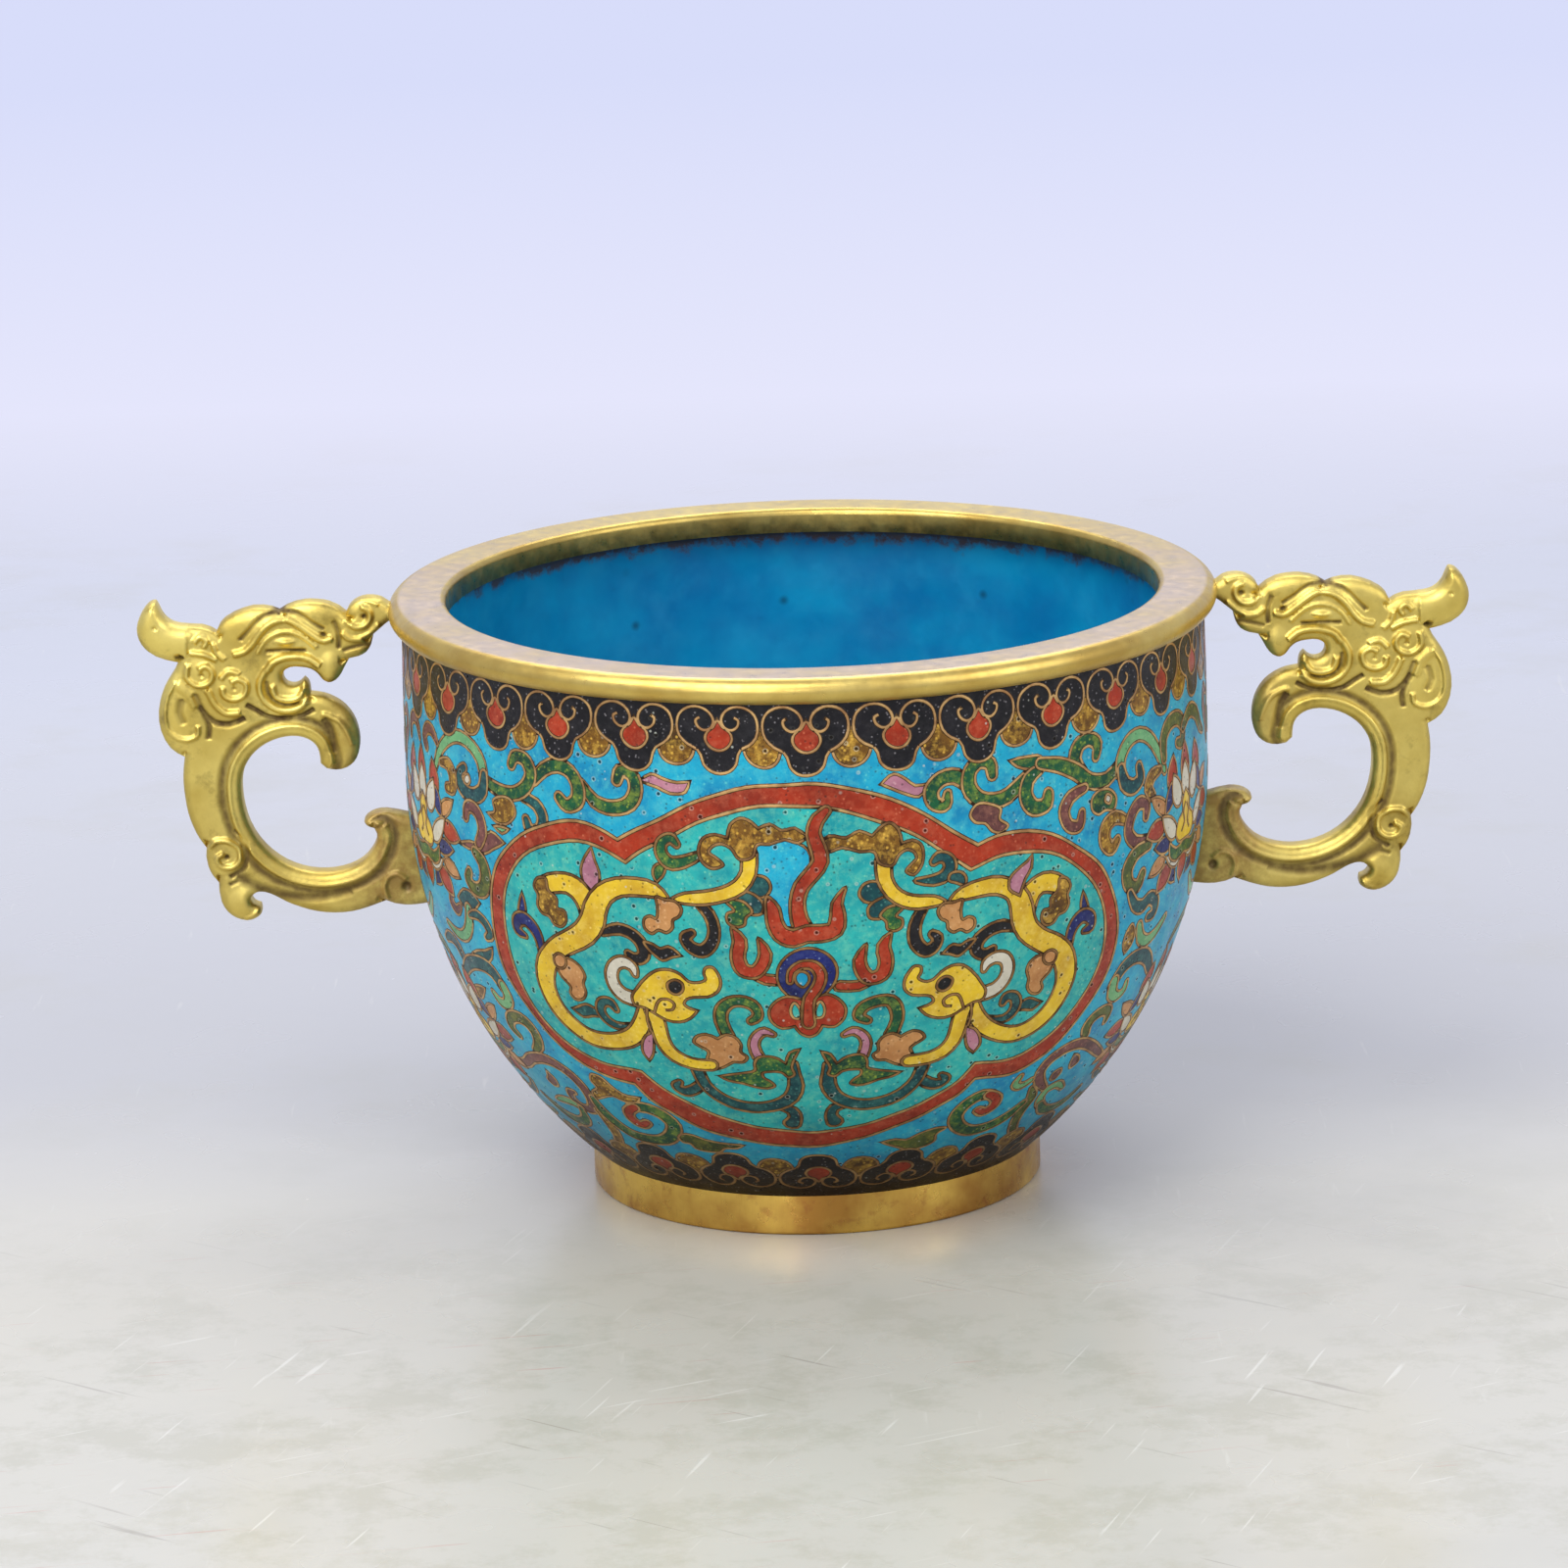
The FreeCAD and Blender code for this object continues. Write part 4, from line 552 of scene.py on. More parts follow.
VINES_RIGHT = [
    ("blob", "mauve", [(9.1, 11.3, 1), (10.8, 10.1), (12.4, 10.8), (13.6, 11.7), (15.4, 11.4, 1),
        (14, 13.2), (12.4, 12.8), (10.8, 12.1)]),
    ("scroll", "green", [(17.7, 13.1, 0.8), (17.5, 14.5, 1.2), (16.0, 14.2, 1.4),
        (15.6, 12.5, 1.5), (16.9, 11.1, 1.6), (18.9, 11.1, 1.6), (20.6, 12.5, 1.4)]),
    ("scroll", "green", [(24.2, 11.7, 1.0), (23.9, 10.1, 1.4), (22.4, 9.6, 1.5), (21.0, 10.6, 1.6),
        (20.8, 12.7, 1.7), (22.3, 14.6, 1.7), (25.3, 15.1, 1.7), (28.4, 13.6, 1.5),
        (30, 12.3, 0.9)]),
    ("blob", "green", [(26.7, 10.3, 1), (29.5, 10.3), (31.7, 10.5), (32.4, 11.8), (29.6, 12.0),
        (27.9, 11.4)]),
    ("scroll", "green", [(31.5, 12.2, 1.0), (29.7, 13.3, 1.6), (29.2, 15.4, 1.8),
        (30.6, 17.2, 1.8), (32.5, 16.9, 1.5), (32.9, 15.5, 1.1)]),
    ("scroll", "green", [(41, 12.1, 1.0), (41.2, 10.6, 1.4), (39.8, 9.6, 1.5), (38, 10.1, 1.6),
        (37.3, 12.1, 1.6), (38.6, 14.0, 1.4)]),
    ("scroll", "green", [(31.6, 11.4, 1.2), (34.7, 12.0, 1.6), (37.4, 13.4, 1.7), (40, 15.2, 1.7),
        (43.2, 15.5, 1.6), (45.5, 14.2, 1.2)]),
    ("blob", "rust", [(21.0, 16.5), (21.8, 15.3), (24, 15.6), (25.2, 16.4), (25.0, 17.6),
        (26.3, 18.8), (25.4, 19.5), (24, 19.2), (23.0, 18.0), (21.7, 17.6)]),
    ("scroll", "rust", [(39, 15.9, 0.9), (36.5, 16.5, 1.3), (35.3, 18.3, 1.4), (36.1, 20.2, 1.4),
        (38.1, 20.4, 1.2), (38.5, 19, 0.9)]),
    ("blob", "green", [(40.4, 17.6), (41.6, 16.8), (43.8, 17.0), (44.9, 18.4), (44.4, 19.8),
        (42.8, 19.6), (41.6, 19.9), (40.4, 19.0)]),
    ("blob", "white", [(43.2, 17.5), (44.0, 18.0), (43.6, 18.8), (42.8, 18.3)]),
    ("scroll", "amber", [(46.6, 21.6, 1.0), (44.6, 20.9, 1.5), (42.9, 21.8, 1.6),
        (42.6, 23.7, 1.7), (44, 24.9, 1.5), (45.1, 24.0, 1.0)]),
    ("scroll", "rust", [(51.3, 22.3, 0.9), (51.5, 20.8, 1.3), (50, 20.2, 1.4), (48.1, 21.4, 1.5),
        (47.5, 23.4, 1.5), (49.1, 25.1, 1.4), (51.6, 25.4, 1.0)]),
    ("scroll", "olive", [(52.2, 26.2, 1.1), (49.0, 26.8, 1.6), (47.5, 28.8, 1.8),
        (48.1, 30.8, 1.8), (50, 31.3, 1.6), (51, 29.8, 1.2)]),
    ("scroll", "leaf", [(56.2, 17.0, 0.9), (54.7, 14.3, 1.3), (52.4, 12, 1.5), (49.9, 11.1, 1.5),
        (47.4, 11.8, 1.5), (45.9, 13.6, 1.5), (45.8, 15.4, 1.3)]),
    ("scroll", "teal", [(45.9, 14.8, 1.0), (46.6, 16.9, 1.6), (48.6, 17.8, 1.7), (50.1, 16.9, 1.5),
        (49.7, 15.4, 1.1)]),
    ("scroll", "amber", [(55.0, 16.6, 0.8), (53, 17.0, 1.4), (52.0, 18.6, 1.5),
        (52.9, 19.7, 1.2)]),
    ("scroll", "olive", [(56.2, 15.5, 1.0), (56.2, 13, 1.5), (58, 11.2, 1.7), (60.8, 11.0, 1.7),
        (62.6, 12.6, 1.6), (62, 14.4, 1.4), (60.4, 14.2, 1.0)]),
    ("scroll", "olive", [(62.7, 12.6, 1.2), (65.6, 11.3, 1.6), (68.6, 12.2, 1.7),
        (70.6, 14.4, 1.3), (72.6, 15.4, 0.6)]),
    ("scroll", "teal", [(48.4, 32.0, 0.9), (49.8, 33.9, 1.5), (51.9, 34.6, 1.8), (54, 33.9, 1.7),
        (55.7, 35, 1.7), (55.5, 36.6, 1.4), (54.2, 36.7, 1.0)]),
    ("blob", "amber", [(50.0, 36.8), (51.3, 38.4), (50.9, 40.3), (49.6, 41.4, 1), (48.6, 39.7),
        (48.9, 37.9)]),
    ("scroll", "leaf", [(52.2, 37.4, 1.1), (53.1, 39.5, 1.6), (55.2, 40.6, 1.6), (57.8, 40.1, 1.5),
        (60.3, 38.2, 0.9)]),
    ("scroll", "teal", [(62.6, 48.2, 0.8), (60.2, 46.6, 1.5), (58, 44.3, 1.9), (55.4, 42.9, 2.1),
        (52.7, 42.7, 2.1), (50.2, 43.9, 2.1), (48.8, 46, 1.9)]),
    ("scroll", "leaf", [(48.9, 45.6, 1.7), (49.4, 47.8, 1.7), (51.2, 48.8, 1.5), (52.7, 48, 1.2),
        (52.6, 46.6, 0.8)]),
    ("scroll", "olive", [(50.8, 53.0, 0.9), (50.6, 51.4, 1.4), (48.8, 50.5, 1.7), (46.9, 51, 1.8),
        (45.9, 52.6, 1.8), (46.6, 54.4, 1.3)]),
    ("scroll", "rust", [(41.8, 64.0, 1.1), (39.7, 61.9, 1.8), (38.7, 59.2, 1.9), (39.9, 57.0, 1.9),
        (42.7, 55.8, 1.8), (46, 55.9, 1.8), (50, 57.4, 1.6), (54, 60, 1.3), (57.5, 62.2, 0.8)]),
    ("blob", "rust", [(42.2, 60.6), (43.8, 60.2), (44.5, 61.4), (43.6, 62.6), (42.2, 62.1)]),
    ("blob", "rust", [(45.8, 58.0, 1), (47.6, 58.8), (48.6, 60.4), (47.0, 61.4), (45.9, 60.1)]),
    ("scroll", "leaf", [(34.2, 59.2, 0.9), (33.8, 60.7, 1.3), (35.3, 61.6, 1.3),
        (37.3, 60.8, 1.0)]),
    ("scroll", "leaf", [(48.3, 66.4, 0.8), (45.6, 64.5, 1.5), (43.1, 65.0, 1.7), (42.7, 67.1, 1.8),
        (44.2, 69.2, 1.6)]),
    ("scroll", "green", [(43.8, 68.6, 1.3), (46, 71, 2.0), (49.6, 72.2, 2.1), (53.6, 71.4, 1.8),
        (56.6, 68.9, 1.0)]),
    ("scroll", "olive", [(38.4, 62.8, 0.8), (39.6, 65.6, 2.0), (39.0, 68.8, 2.2),
        (39.8, 73.0, 1.8), (42.2, 77.0, 1.4)]),
    ("scroll", "green", [(38.2, 66.4, 1.2), (35.8, 69.3, 2.2), (32.4, 71.2, 2.4),
        (28.6, 71.1, 2.4), (25.6, 69.1, 2.4), (24.3, 66.1, 2.4), (25.4, 63.3, 2.2),
        (27.8, 61.9, 2.0), (29.6, 62.3, 1.8)]),
    ("scroll", "red", [(29.2, 62.1, 1.5), (31.0, 63.4, 1.9), (31.2, 65.3, 1.9), (29.6, 66.4, 1.7),
        (28.2, 65.5, 1.3)]),
    ("blob", "olive", [(11.2, 70.9, 1), (13.7, 70.4), (15.5, 70.8), (18, 69.2), (20.8, 68.4),
        (23.2, 68.9), (21.6, 70.4), (21.8, 72.2), (19.6, 73.7), (16, 73.8), (14.2, 72.8),
        (12.8, 72.0)]),
]
# Both sides, next to the handles
VINES_OUTER = [
    ("scroll", "green", [(86.3, 10.3, 1.0), (80.5, 10.6, 1.5), (77.5, 12.4, 1.7),
        (77.3, 15.0, 1.7), (79.4, 16.3, 1.4), (80.9, 15.0, 1.0)]),
    ("scroll", "rust", [(76.2, 17.5, 0.8), (75.2, 14.5, 1.4), (73.6, 12.0, 1.5), (74.6, 10.2, 1.2),
        (76, 10.8, 0.8)]),
    ("scroll", "leaf", [(68.5, 34.6, 0.8), (71.5, 37.2, 1.4), (75.2, 38.2, 1.6), (78.6, 36.8, 1.5),
        (79.4, 34.0, 1.2), (77.6, 32.8, 0.8)]),
    ("scroll", "teal", [(77.5, 29.5, 0.6), (80.4, 27.4, 1.6), (81.2, 24.2, 1.8), (79.6, 21.6, 1.4),
        (77.8, 22.4, 0.9)]),
    ("scroll", "green", [(66.5, 44.5, 0.8), (70.6, 42.2, 1.6), (75, 41.4, 1.9), (79.2, 43.2, 1.9),
        (81.0, 46.8, 1.8), (79.6, 49.6, 1.4), (77.2, 49.0, 0.9)]),
    ("scroll", "rust", [(66.5, 68.2, 0.9), (70.5, 70.0, 1.6), (75.5, 69.8, 1.8), (79.3, 67.2, 1.8),
        (80.4, 63.2, 1.6), (79, 61.0, 1.0)]),
    ("scroll", "green", [(59.5, 72.6, 0.8), (63.6, 74.0, 1.8), (68.5, 74.2, 2.0), (73, 74.5, 1.6),
        (76.4, 76.4, 0.6)]),
    ("scroll", "teal", [(58.8, 64.5, 0.7), (61, 67.2, 1.5), (64.2, 68.2, 1.6), (66, 66.8, 1.0)]),
    ("blob", "amber", [(84.04, 52.6, 1), (82.6, 55.0), (82.5, 58.2), (84.04, 60.6), (85.58, 58.2),
        (85.48, 55.0)]),
]
LOTUS_LEFT = [(65.7, 23.7, 1.0), (68.0, 55.0, 1.12)]
LOTUS_RIGHT = [(63.2, 25.4, 1.0), (66.6, 57.0, 1.12)]
# Petals as colour, foot, tip and width; those beside the middle line come in pairs
LOTUS_PETALS = [
    ("red", (0, -5), (0, -11), 3.2), ("red", (5, -4.8), (4.2, -9.9), 3.2),
    ("peach", (6.4, -2.8), (10.6, -5.4), 2.2), ("navy", (4.0, -6.2), (7.0, -2.4), 2.4),
    ("navy", (5.2, 5.0), (2.0, 8.0), 2.2), ("red", (0, 4.4), (0, 8.6), 3.2),
    ("red", (4.4, 4.6), (7.6, 8.3), 3.0), ("peach", (6.2, 3.4), (10.5, 5.4), 2.2),
    ("navy", (4.6, 1.5), (9.6, 1.7), 2.4), ("red", (7, -1.2), (11.7, -0.2), 2.9),
    ("white", (1.4, 5.2), (6.0, 3.4), 2.2), ("white", (3.2, 1.2), (7.8, -2.4), 2.6),
    ("white", (2.2, -2.6), (4.4, -7.2), 3.2), ("white", (0, -3.4), (0, -8.4), 3.0),
]
LOTUS_CUP = [(0, 2.6), (3, 3.0), (5.2, 1.6, 1), (4.9, 3.6), (2.6, 4.9), (0, 4.5)]
LOTUS_HEART = [(0, -4.4, 1), (1.3, -3.0), (1.3, -1.5), (2.7, -0.5), (3.3, 1), (2.5, 2.3), (0, 2.6)]
LOTUS_VEIN = [(0.2, -2.6), (0.9, -1.4), (0.6, 0.2), (1.5, 1.3)]


def petal(foot, tip, wide):
    """Outline of a pointed petal."""
    foot, tip = np.array(foot, float), np.array(tip, float)
    along = tip - foot
    across = np.array([-along[1], along[0]]) / np.hypot(*along) * wide / 2
    ways = [(0, 0), (0.12, 0.7), (0.4, 1), (0.75, 0.66), (1, 0), (0.75, -0.66), (0.4, -1),
            (0.12, -0.7)]
    points = [tuple(foot + a * along + b * across) for a, b in ways]
    points[4] = (*points[4], 1)
    return points


def lotus(place, side):
    """Lotus flower: rings of petals round a yellow heart."""
    middle, height, size = place

    def put(points):
        return [(side * middle + size * p[0], height + size * p[1], *p[2:]) for p in points]

    for colour, foot, tip, wide in LOTUS_PETALS:
        for turn in (1, -1) if tip[0] else (1,):
            shape = petal((turn * foot[0], foot[1]), (turn * tip[0], tip[1]), wide)
            add("lotus", colour, outline(put(shape)))
    add("lotus", "green", outline(put(both_sides(LOTUS_CUP))))
    add("lotus", "yellow", outline(put(both_sides(LOTUS_HEART))))
    for turn in (1, -1):
        vein = [(turn * p[0], p[1]) for p in LOTUS_VEIN]
        add("lotus", None, smooth(put(vein)), closed=False)


def lay_out_pattern():
    for side, vines, flowers in ((-1, VINES_LEFT, LOTUS_LEFT), (1, VINES_RIGHT, LOTUS_RIGHT)):
        draw("vines", VINES_OUTER, side)
        draw("vines", vines, side)
        for place in flowers:
            lotus(place, side)
    border("upper", UPPER_PITCH, 7, 1.0, 1.0, 0.0)
    border("lower", LOWER_PITCH, 5, LOWER_PITCH / UPPER_PITCH, -LOWER_STRETCH, LOWER_START)
    add("band", "red", outline(halves(LEFT_OUTER, RIGHT_OUTER)), wire=BAND_WIRE)
    add("ground", "turquoise", outline(halves(LEFT_INNER, RIGHT_INNER)), wire=BAND_WIRE)
    for side in (1, -1):
        draw("leaves", LEAVES_RIGHT if side > 0 else LEAVES_LEFT, side)
        draw("leaves", LEAVES, side, move=right_panel if side > 0 else None)
        draw("dragons", DRAGON, side, move=right_panel if side > 0 else None)
    draw("leaves", LEAF_OVER_RIGHT)
    draw("flames", FLAMES)
    for side in (1, -1):
        draw("flames", SIDE_FLAME, side, PEARL_CENTRE[0] * 0.5, right_flame if side > 0 else None)
    angles = np.linspace(0, 2 * math.pi, 32, endpoint=False)
    circle = np.column_stack([np.cos(angles), np.sin(angles)])
    disc = np.array(PEARL_CENTRE) + PEARL_RADIUS * circle
    add("pearl", "navy", disc)
    knot = [(p[0] + PEARL_CENTRE[0], *p[1:]) for p in both_sides([(0, 40.2), *CLOUD_KNOT])]
    add("flames", "red", outline(knot))
    for side in (1, -1):
        hole = [(PEARL_CENTRE[0] + side * p[0], p[1]) for p in KNOT_HOLE]
        add("ground", "turquoise", outline(hole))
    draw("flames", PEARL_CURL)


# Triangles of the pattern

def wire_lines(line, closed, wire):
    """Edges and shoulders of a wire, which is as wide everywhere on the cup."""
    half = wire / 2 * true_scale(line[:, 1])
    return [beside(line, side * share * half, closed) for share in (1, SHOULDER_SHARE)
            for side in (1, -1)]


def triangulate():
    """Splits half of the pattern map into triangles along every wire."""
    points, edges = [], []

    def take(line, closed):
        first = len(points)
        points.extend(map(tuple, line))
        edges.extend((first + i, first + i + 1) for i in range(len(line) - 1))
        if closed:
            edges.append((len(points) - 1, first))

    for _, _, line, closed, wire in shapes:
        if wire:
            for run in wire_lines(line, closed, wire):
                take(run, closed)
            if not closed:
                half = wire / 2 * true_scale(line[:, 1])
                ends = [beside(line, s * half, False) for s in (1, -1)]
                take(np.array([ends[0][0], ends[1][0]]), False)
                take(np.array([ends[0][-1], ends[1][-1]]), False)
    rows = math.ceil((BOTTOM_V - TOP_V) / MESH_STEP)
    columns = math.ceil(2 * QUARTER_TURN / MESH_STEP)
    down = np.linspace(TOP_V, BOTTOM_V, rows + 1)
    across = np.linspace(-QUARTER_TURN, QUARTER_TURN, columns + 1)
    take(np.vstack([np.column_stack([across[:-1], np.full(columns, TOP_V)]),
                    np.column_stack([np.full(rows, QUARTER_TURN), down[:-1]]),
                    np.column_stack([across[:0:-1], np.full(columns, BOTTOM_V)]),
                    np.column_stack([np.full(rows, -QUARTER_TURN), down[:0:-1]])]), True)
    ends = np.array(points)[np.array(edges)]
    marks = np.vstack([ends[:, 0], ends.mean(1)])
    cell = 0.5 * MESH_STEP
    taken = set(map(tuple, np.round(marks / cell).astype(int)))
    for j, v in enumerate(down[1:-1]):
        shift = 0.5 * (j % 2)
        for x in (across[1:-1] + shift * MESH_STEP):
            i, k = round(x / cell), round(v / cell)
            if x < QUARTER_TURN - 0.6 and not any((i + a, k + b) in taken
                                                  for a in (-1, 0, 1) for b in (-1, 0, 1)):
                points.append((x, v))
    result = delaunay_2d_cdt([Vector(p) for p in points], edges, [], 0, CLOSE, False)
    places = np.array([tuple(p) for p in result[0]])
    faces = np.array([f for f in result[2] if len(f) == 3])
    middles = places[faces].mean(1)
    keep = (np.abs(middles[:, 0]) < QUARTER_TURN) & (middles[:, 1] > TOP_V) \
        & (middles[:, 1] < BOTTOM_V)
    used, faces = np.unique(faces[keep], return_inverse=True)
    return places[used], faces.reshape(-1, 3)


def paint(points):
    """For each point, the group it belongs to and how far up a wire it stands."""
    group = np.full(len(points), "sky sky", dtype="<U24")
    crest = np.zeros(len(points))
    free = np.ones(len(points), bool)
    for owner, colour, line, closed, wire in reversed(shapes):
        low, high = line.min(0) - 1, line.max(0) + 1
        near = np.flatnonzero(free & (points > low).all(1) & (points < high).all(1))
        if wire and len(near):
            gap = distance(points[near], line, closed)
            half = wire / 2 * true_scale(points[near, 1])
            on = gap < half * 1.002
            group[near[on]] = owner + " wire"
            crest[near[on]] = np.clip((1 - gap[on] / half[on]) / (1 - SHOULDER_SHARE), 0, 1)
            free[near[on]] = False
            near = near[~on]
        if colour and len(near):
            hit = near[inside(points[near], line)]
            group[hit] = owner + " " + colour
            free[hit] = False
    return group, crest


# Where each group of cells belongs: the CAD nodes it stands for
PANEL_NODES = {"band": "panel_band", "ground": "panel_ground", "leaves": "panel_ground",
               "dragons": "dragons", "pearl": "pearl", "flames": "flames"}
ROUND_NODES = {"sky": "sky_ground_enamel", "vines": "vine_scrolls", "lotus": "lotus_petals",
               "upper": "upper_border_enamel", "lower": "lower_border_enamel"}
SPECIAL_NODES = {"upper red": "upper_border_drops", "upper amber": "upper_border_lobes",
                 "upper wire": "upper_border_wires", "lower red": "lower_border_drops",
                 "lower amber": "lower_border_lobes", "lower wire": "lower_border_wires",
                 "lotus yellow": "lotus_hearts", "lotus wire": "lotus_wires",
                 "vines wire": "vine_wires", "band wire": "panel_wires",
                 "ground wire": "panel_wires"}


def node_of(group):
    """CAD node of a group, without the front_ or back_ of a panel's nodes."""
    owner, colour = group.split()
    if group in SPECIAL_NODES:
        return SPECIAL_NODES[group]
    if owner in PANEL_NODES:
        return "motif_wires" if colour == "wire" else PANEL_NODES[owner]
    return ROUND_NODES[owner]


# Waves of the unevenness: height, number round the cup, length down the wall, start
SWAY_ACROSS = ((0.20, 3, 9), (0.14, 11, -5), (0.09, 31, 3))
SWAY_DOWN = ((0.17, 5, 13, 0), (0.12, 17, math.inf, 2), (0.08, 37, -4, 0))
CALM_EDGE = 6


def uneven(places, half):
    """Small unevenness of wires that were bent by hand. It meets itself after a full turn."""
    x, v = places.T
    x = x + half * HALF_TURN
    a = x / BELLY_RADIUS
    calm = np.clip(np.minimum(v - TOP_V, BOTTOM_V - v) / CALM_EDGE, 0, 1)
    for high, turns, run in SWAY_ACROSS:
        x = x + high * np.sin(turns * a + v / run)
    sway = sum(high * np.sin(turns * a + v / run + start) for high, turns, run, start in SWAY_DOWN)
    return x, v + calm * sway


def new_object(name, verts, faces, relief=None, sharp=40):
    """Mesh object from millimetres, smooth except at sharp edges."""
    mesh = bpy.data.meshes.new(name)
    mesh.from_pydata((np.asarray(verts) * MM).tolist(), [], faces)
    if relief is not None:
        mesh.attributes.new("relief", "FLOAT", "POINT").data.foreach_set("value", relief)
    mesh.shade_smooth()
    mesh.set_sharp_from_angle(angle=math.radians(sharp))
    obj = bpy.data.objects.new(name, mesh)
    bpy.context.scene.collection.objects.link(obj)
    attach(obj, "root")
    return obj


def closed_faces(front, n):
    """Front triangles, the same ones turned over on the n points behind, and the walls between."""
    edges = np.vstack([front[:, [0, 1]], front[:, [1, 2]], front[:, [2, 0]]])
    back = set((edges[:, 1] * n + edges[:, 0]).tolist())
    rim = np.array([e for e in edges.tolist() if e[0] * n + e[1] not in back])
    walls = np.column_stack([rim[:, 1], rim[:, 0], rim[:, 0] + n, rim[:, 1] + n])
    return front.tolist() + (front[:, ::-1] + n).tolist() + walls.tolist()


def slab(name, triangles, top, bottom, crest):
    """Closed piece between its outer face and the copper under it."""
    used, index = np.unique(triangles, return_inverse=True)
    faces = closed_faces(index.reshape(-1, 3), len(used))
    relief = np.concatenate([crest[used], np.zeros(len(used))])
    return new_object(name, np.vstack([top[used], bottom[used]]), faces, relief)


def build_pattern():
    """All enamel cells and wires, grouped into pieces that stand for the CAD nodes."""
    lay_out_pattern()
    places, faces = triangulate()
    group, _ = paint(places[faces].mean(1))
    _, crest = paint(places)
    count = len(places)
    left = np.flatnonzero(places[:, 0] < CLOSE - QUARTER_TURN)
    right = np.flatnonzero(places[:, 0] > QUARTER_TURN - CLOSE)
    left, right = (ids[np.argsort(places[ids, 1])] for ids in (left, right))
    top, bottom, all_faces, all_groups = [], [], [], []
    for half, prefix in ((0, "front_"), (1, "back_")):
        x, v = uneven(places, half)
        top.append(on_wall(x, v, WIRE_RISE * crest))
        bottom.append(on_wall(x, v, np.full(count, -ENAMEL_DEPTH)))
        all_faces.append(faces[:, ::-1] + half * count)
        panel = [prefix if g.split()[0] in PANEL_NODES else "" for g in group]
        all_groups.append(np.array([p + g for p, g in zip(panel, group)]))
    top, bottom = np.vstack(top), np.vstack(bottom)
    all_faces, all_groups = np.vstack(all_faces), np.concatenate(all_groups)
    weld = np.arange(2 * count)
    if len(left) == len(right):
        weld[left + count] = right
        weld[right + count] = left
    all_faces = weld[all_faces]
    solid = (all_faces[:, 0] != all_faces[:, 1]) & (all_faces[:, 1] != all_faces[:, 2]) \
        & (all_faces[:, 0] != all_faces[:, 2])
    all_faces, all_groups = all_faces[solid], all_groups[solid]
    crest = np.tile(crest, 2)
    for name in np.unique(all_groups):
        prefix = next((p for p in ("front_", "back_") if name.startswith(p)), "")
        plain = name[len(prefix):]
        owner, colour = plain.split()
        piece = slab(f"{prefix}{owner}_{colour}", all_faces[all_groups == name],
                     top, bottom, crest)
        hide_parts(prefix + node_of(plain))
        if colour == "wire":
            dull = prefix and owner not in ("band", "ground")
            piece.data.materials.append(materials["dull_wire" if dull else "wire"])
        else:
            piece.data.materials.append(materials[colour])


# Metalwork

def lathe(name, profile, steps=288, sharp=35):
    """Ring or bowl turned from a closed profile of radius and height."""
    n = len(profile)
    angles = np.linspace(0, 2 * math.pi, steps, endpoint=False)
    verts = [(r * math.cos(a), r * math.sin(a), z) for a in angles for r, z in profile]
    faces = []
    for i in range(steps):
        for j in range(n):
            a, b = i * n, (i + 1) % steps * n
            k = (j + 1) % n
            faces.append((a + j, b + j, b + k, a + k))
    return new_object(name, verts, faces, sharp=sharp)


def arc(cx, cz, radius, start, end, count=7):
    angles = np.radians(np.linspace(start, end, count))
    return [(cx + radius * math.cos(a), cz + radius * math.sin(a)) for a in angles]


def build_rings():
    rim = arc(MOUTH_RADIUS + RIM_INNER_ROUND, CUP_HEIGHT - RIM_INNER_ROUND, RIM_INNER_ROUND,
              180, 90, 5)
    rim += [(MOUTH_RADIUS + share * RIM_WIDTH, CUP_HEIGHT) for share in (0.35, 0.6)]
    rim += arc(RIM_RADIUS - RIM_ROUND, CUP_HEIGHT - RIM_ROUND, RIM_ROUND, 90, 0, 12)
    low = CUP_HEIGHT - RIM_ROUND
    rim += [(RIM_RADIUS - RIM_TUCK * t * t, low + (WALL_TOP - low) * t)
            for t in (0.3, 0.55, 0.8, 1)]
    rim += [(BELLY_RADIUS - NECK_DRAW_IN, WALL_TOP), (MOUTH_RADIUS, WALL_TOP)]
    ring = lathe("rim_gilt", rim[::-1])
    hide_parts("rim_ring")
    inner = FOOT_RADIUS - FOOT_WIDTH
    foot = arc(inner + FOOT_ROUND, FOOT_ROUND, FOOT_ROUND, 180, 270, 5)
    foot += arc(FOOT_RADIUS - FOOT_ROUND, FOOT_ROUND, FOOT_ROUND, -90, 0, 5)
    foot += [(FOOT_RADIUS, FOOT_HEIGHT * t) for t in (0.4, 0.7, 1.0)]
    foot += [(FOOT_RADIUS - 1.0, FOOT_HEIGHT), (inner, FOOT_HEIGHT - 1.0)]
    base = lathe("foot_gilt", foot)
    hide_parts("foot_ring")
    for piece, finish in ((ring, "rim"), (base, "foot")):
        piece.data.materials.append(materials[finish])


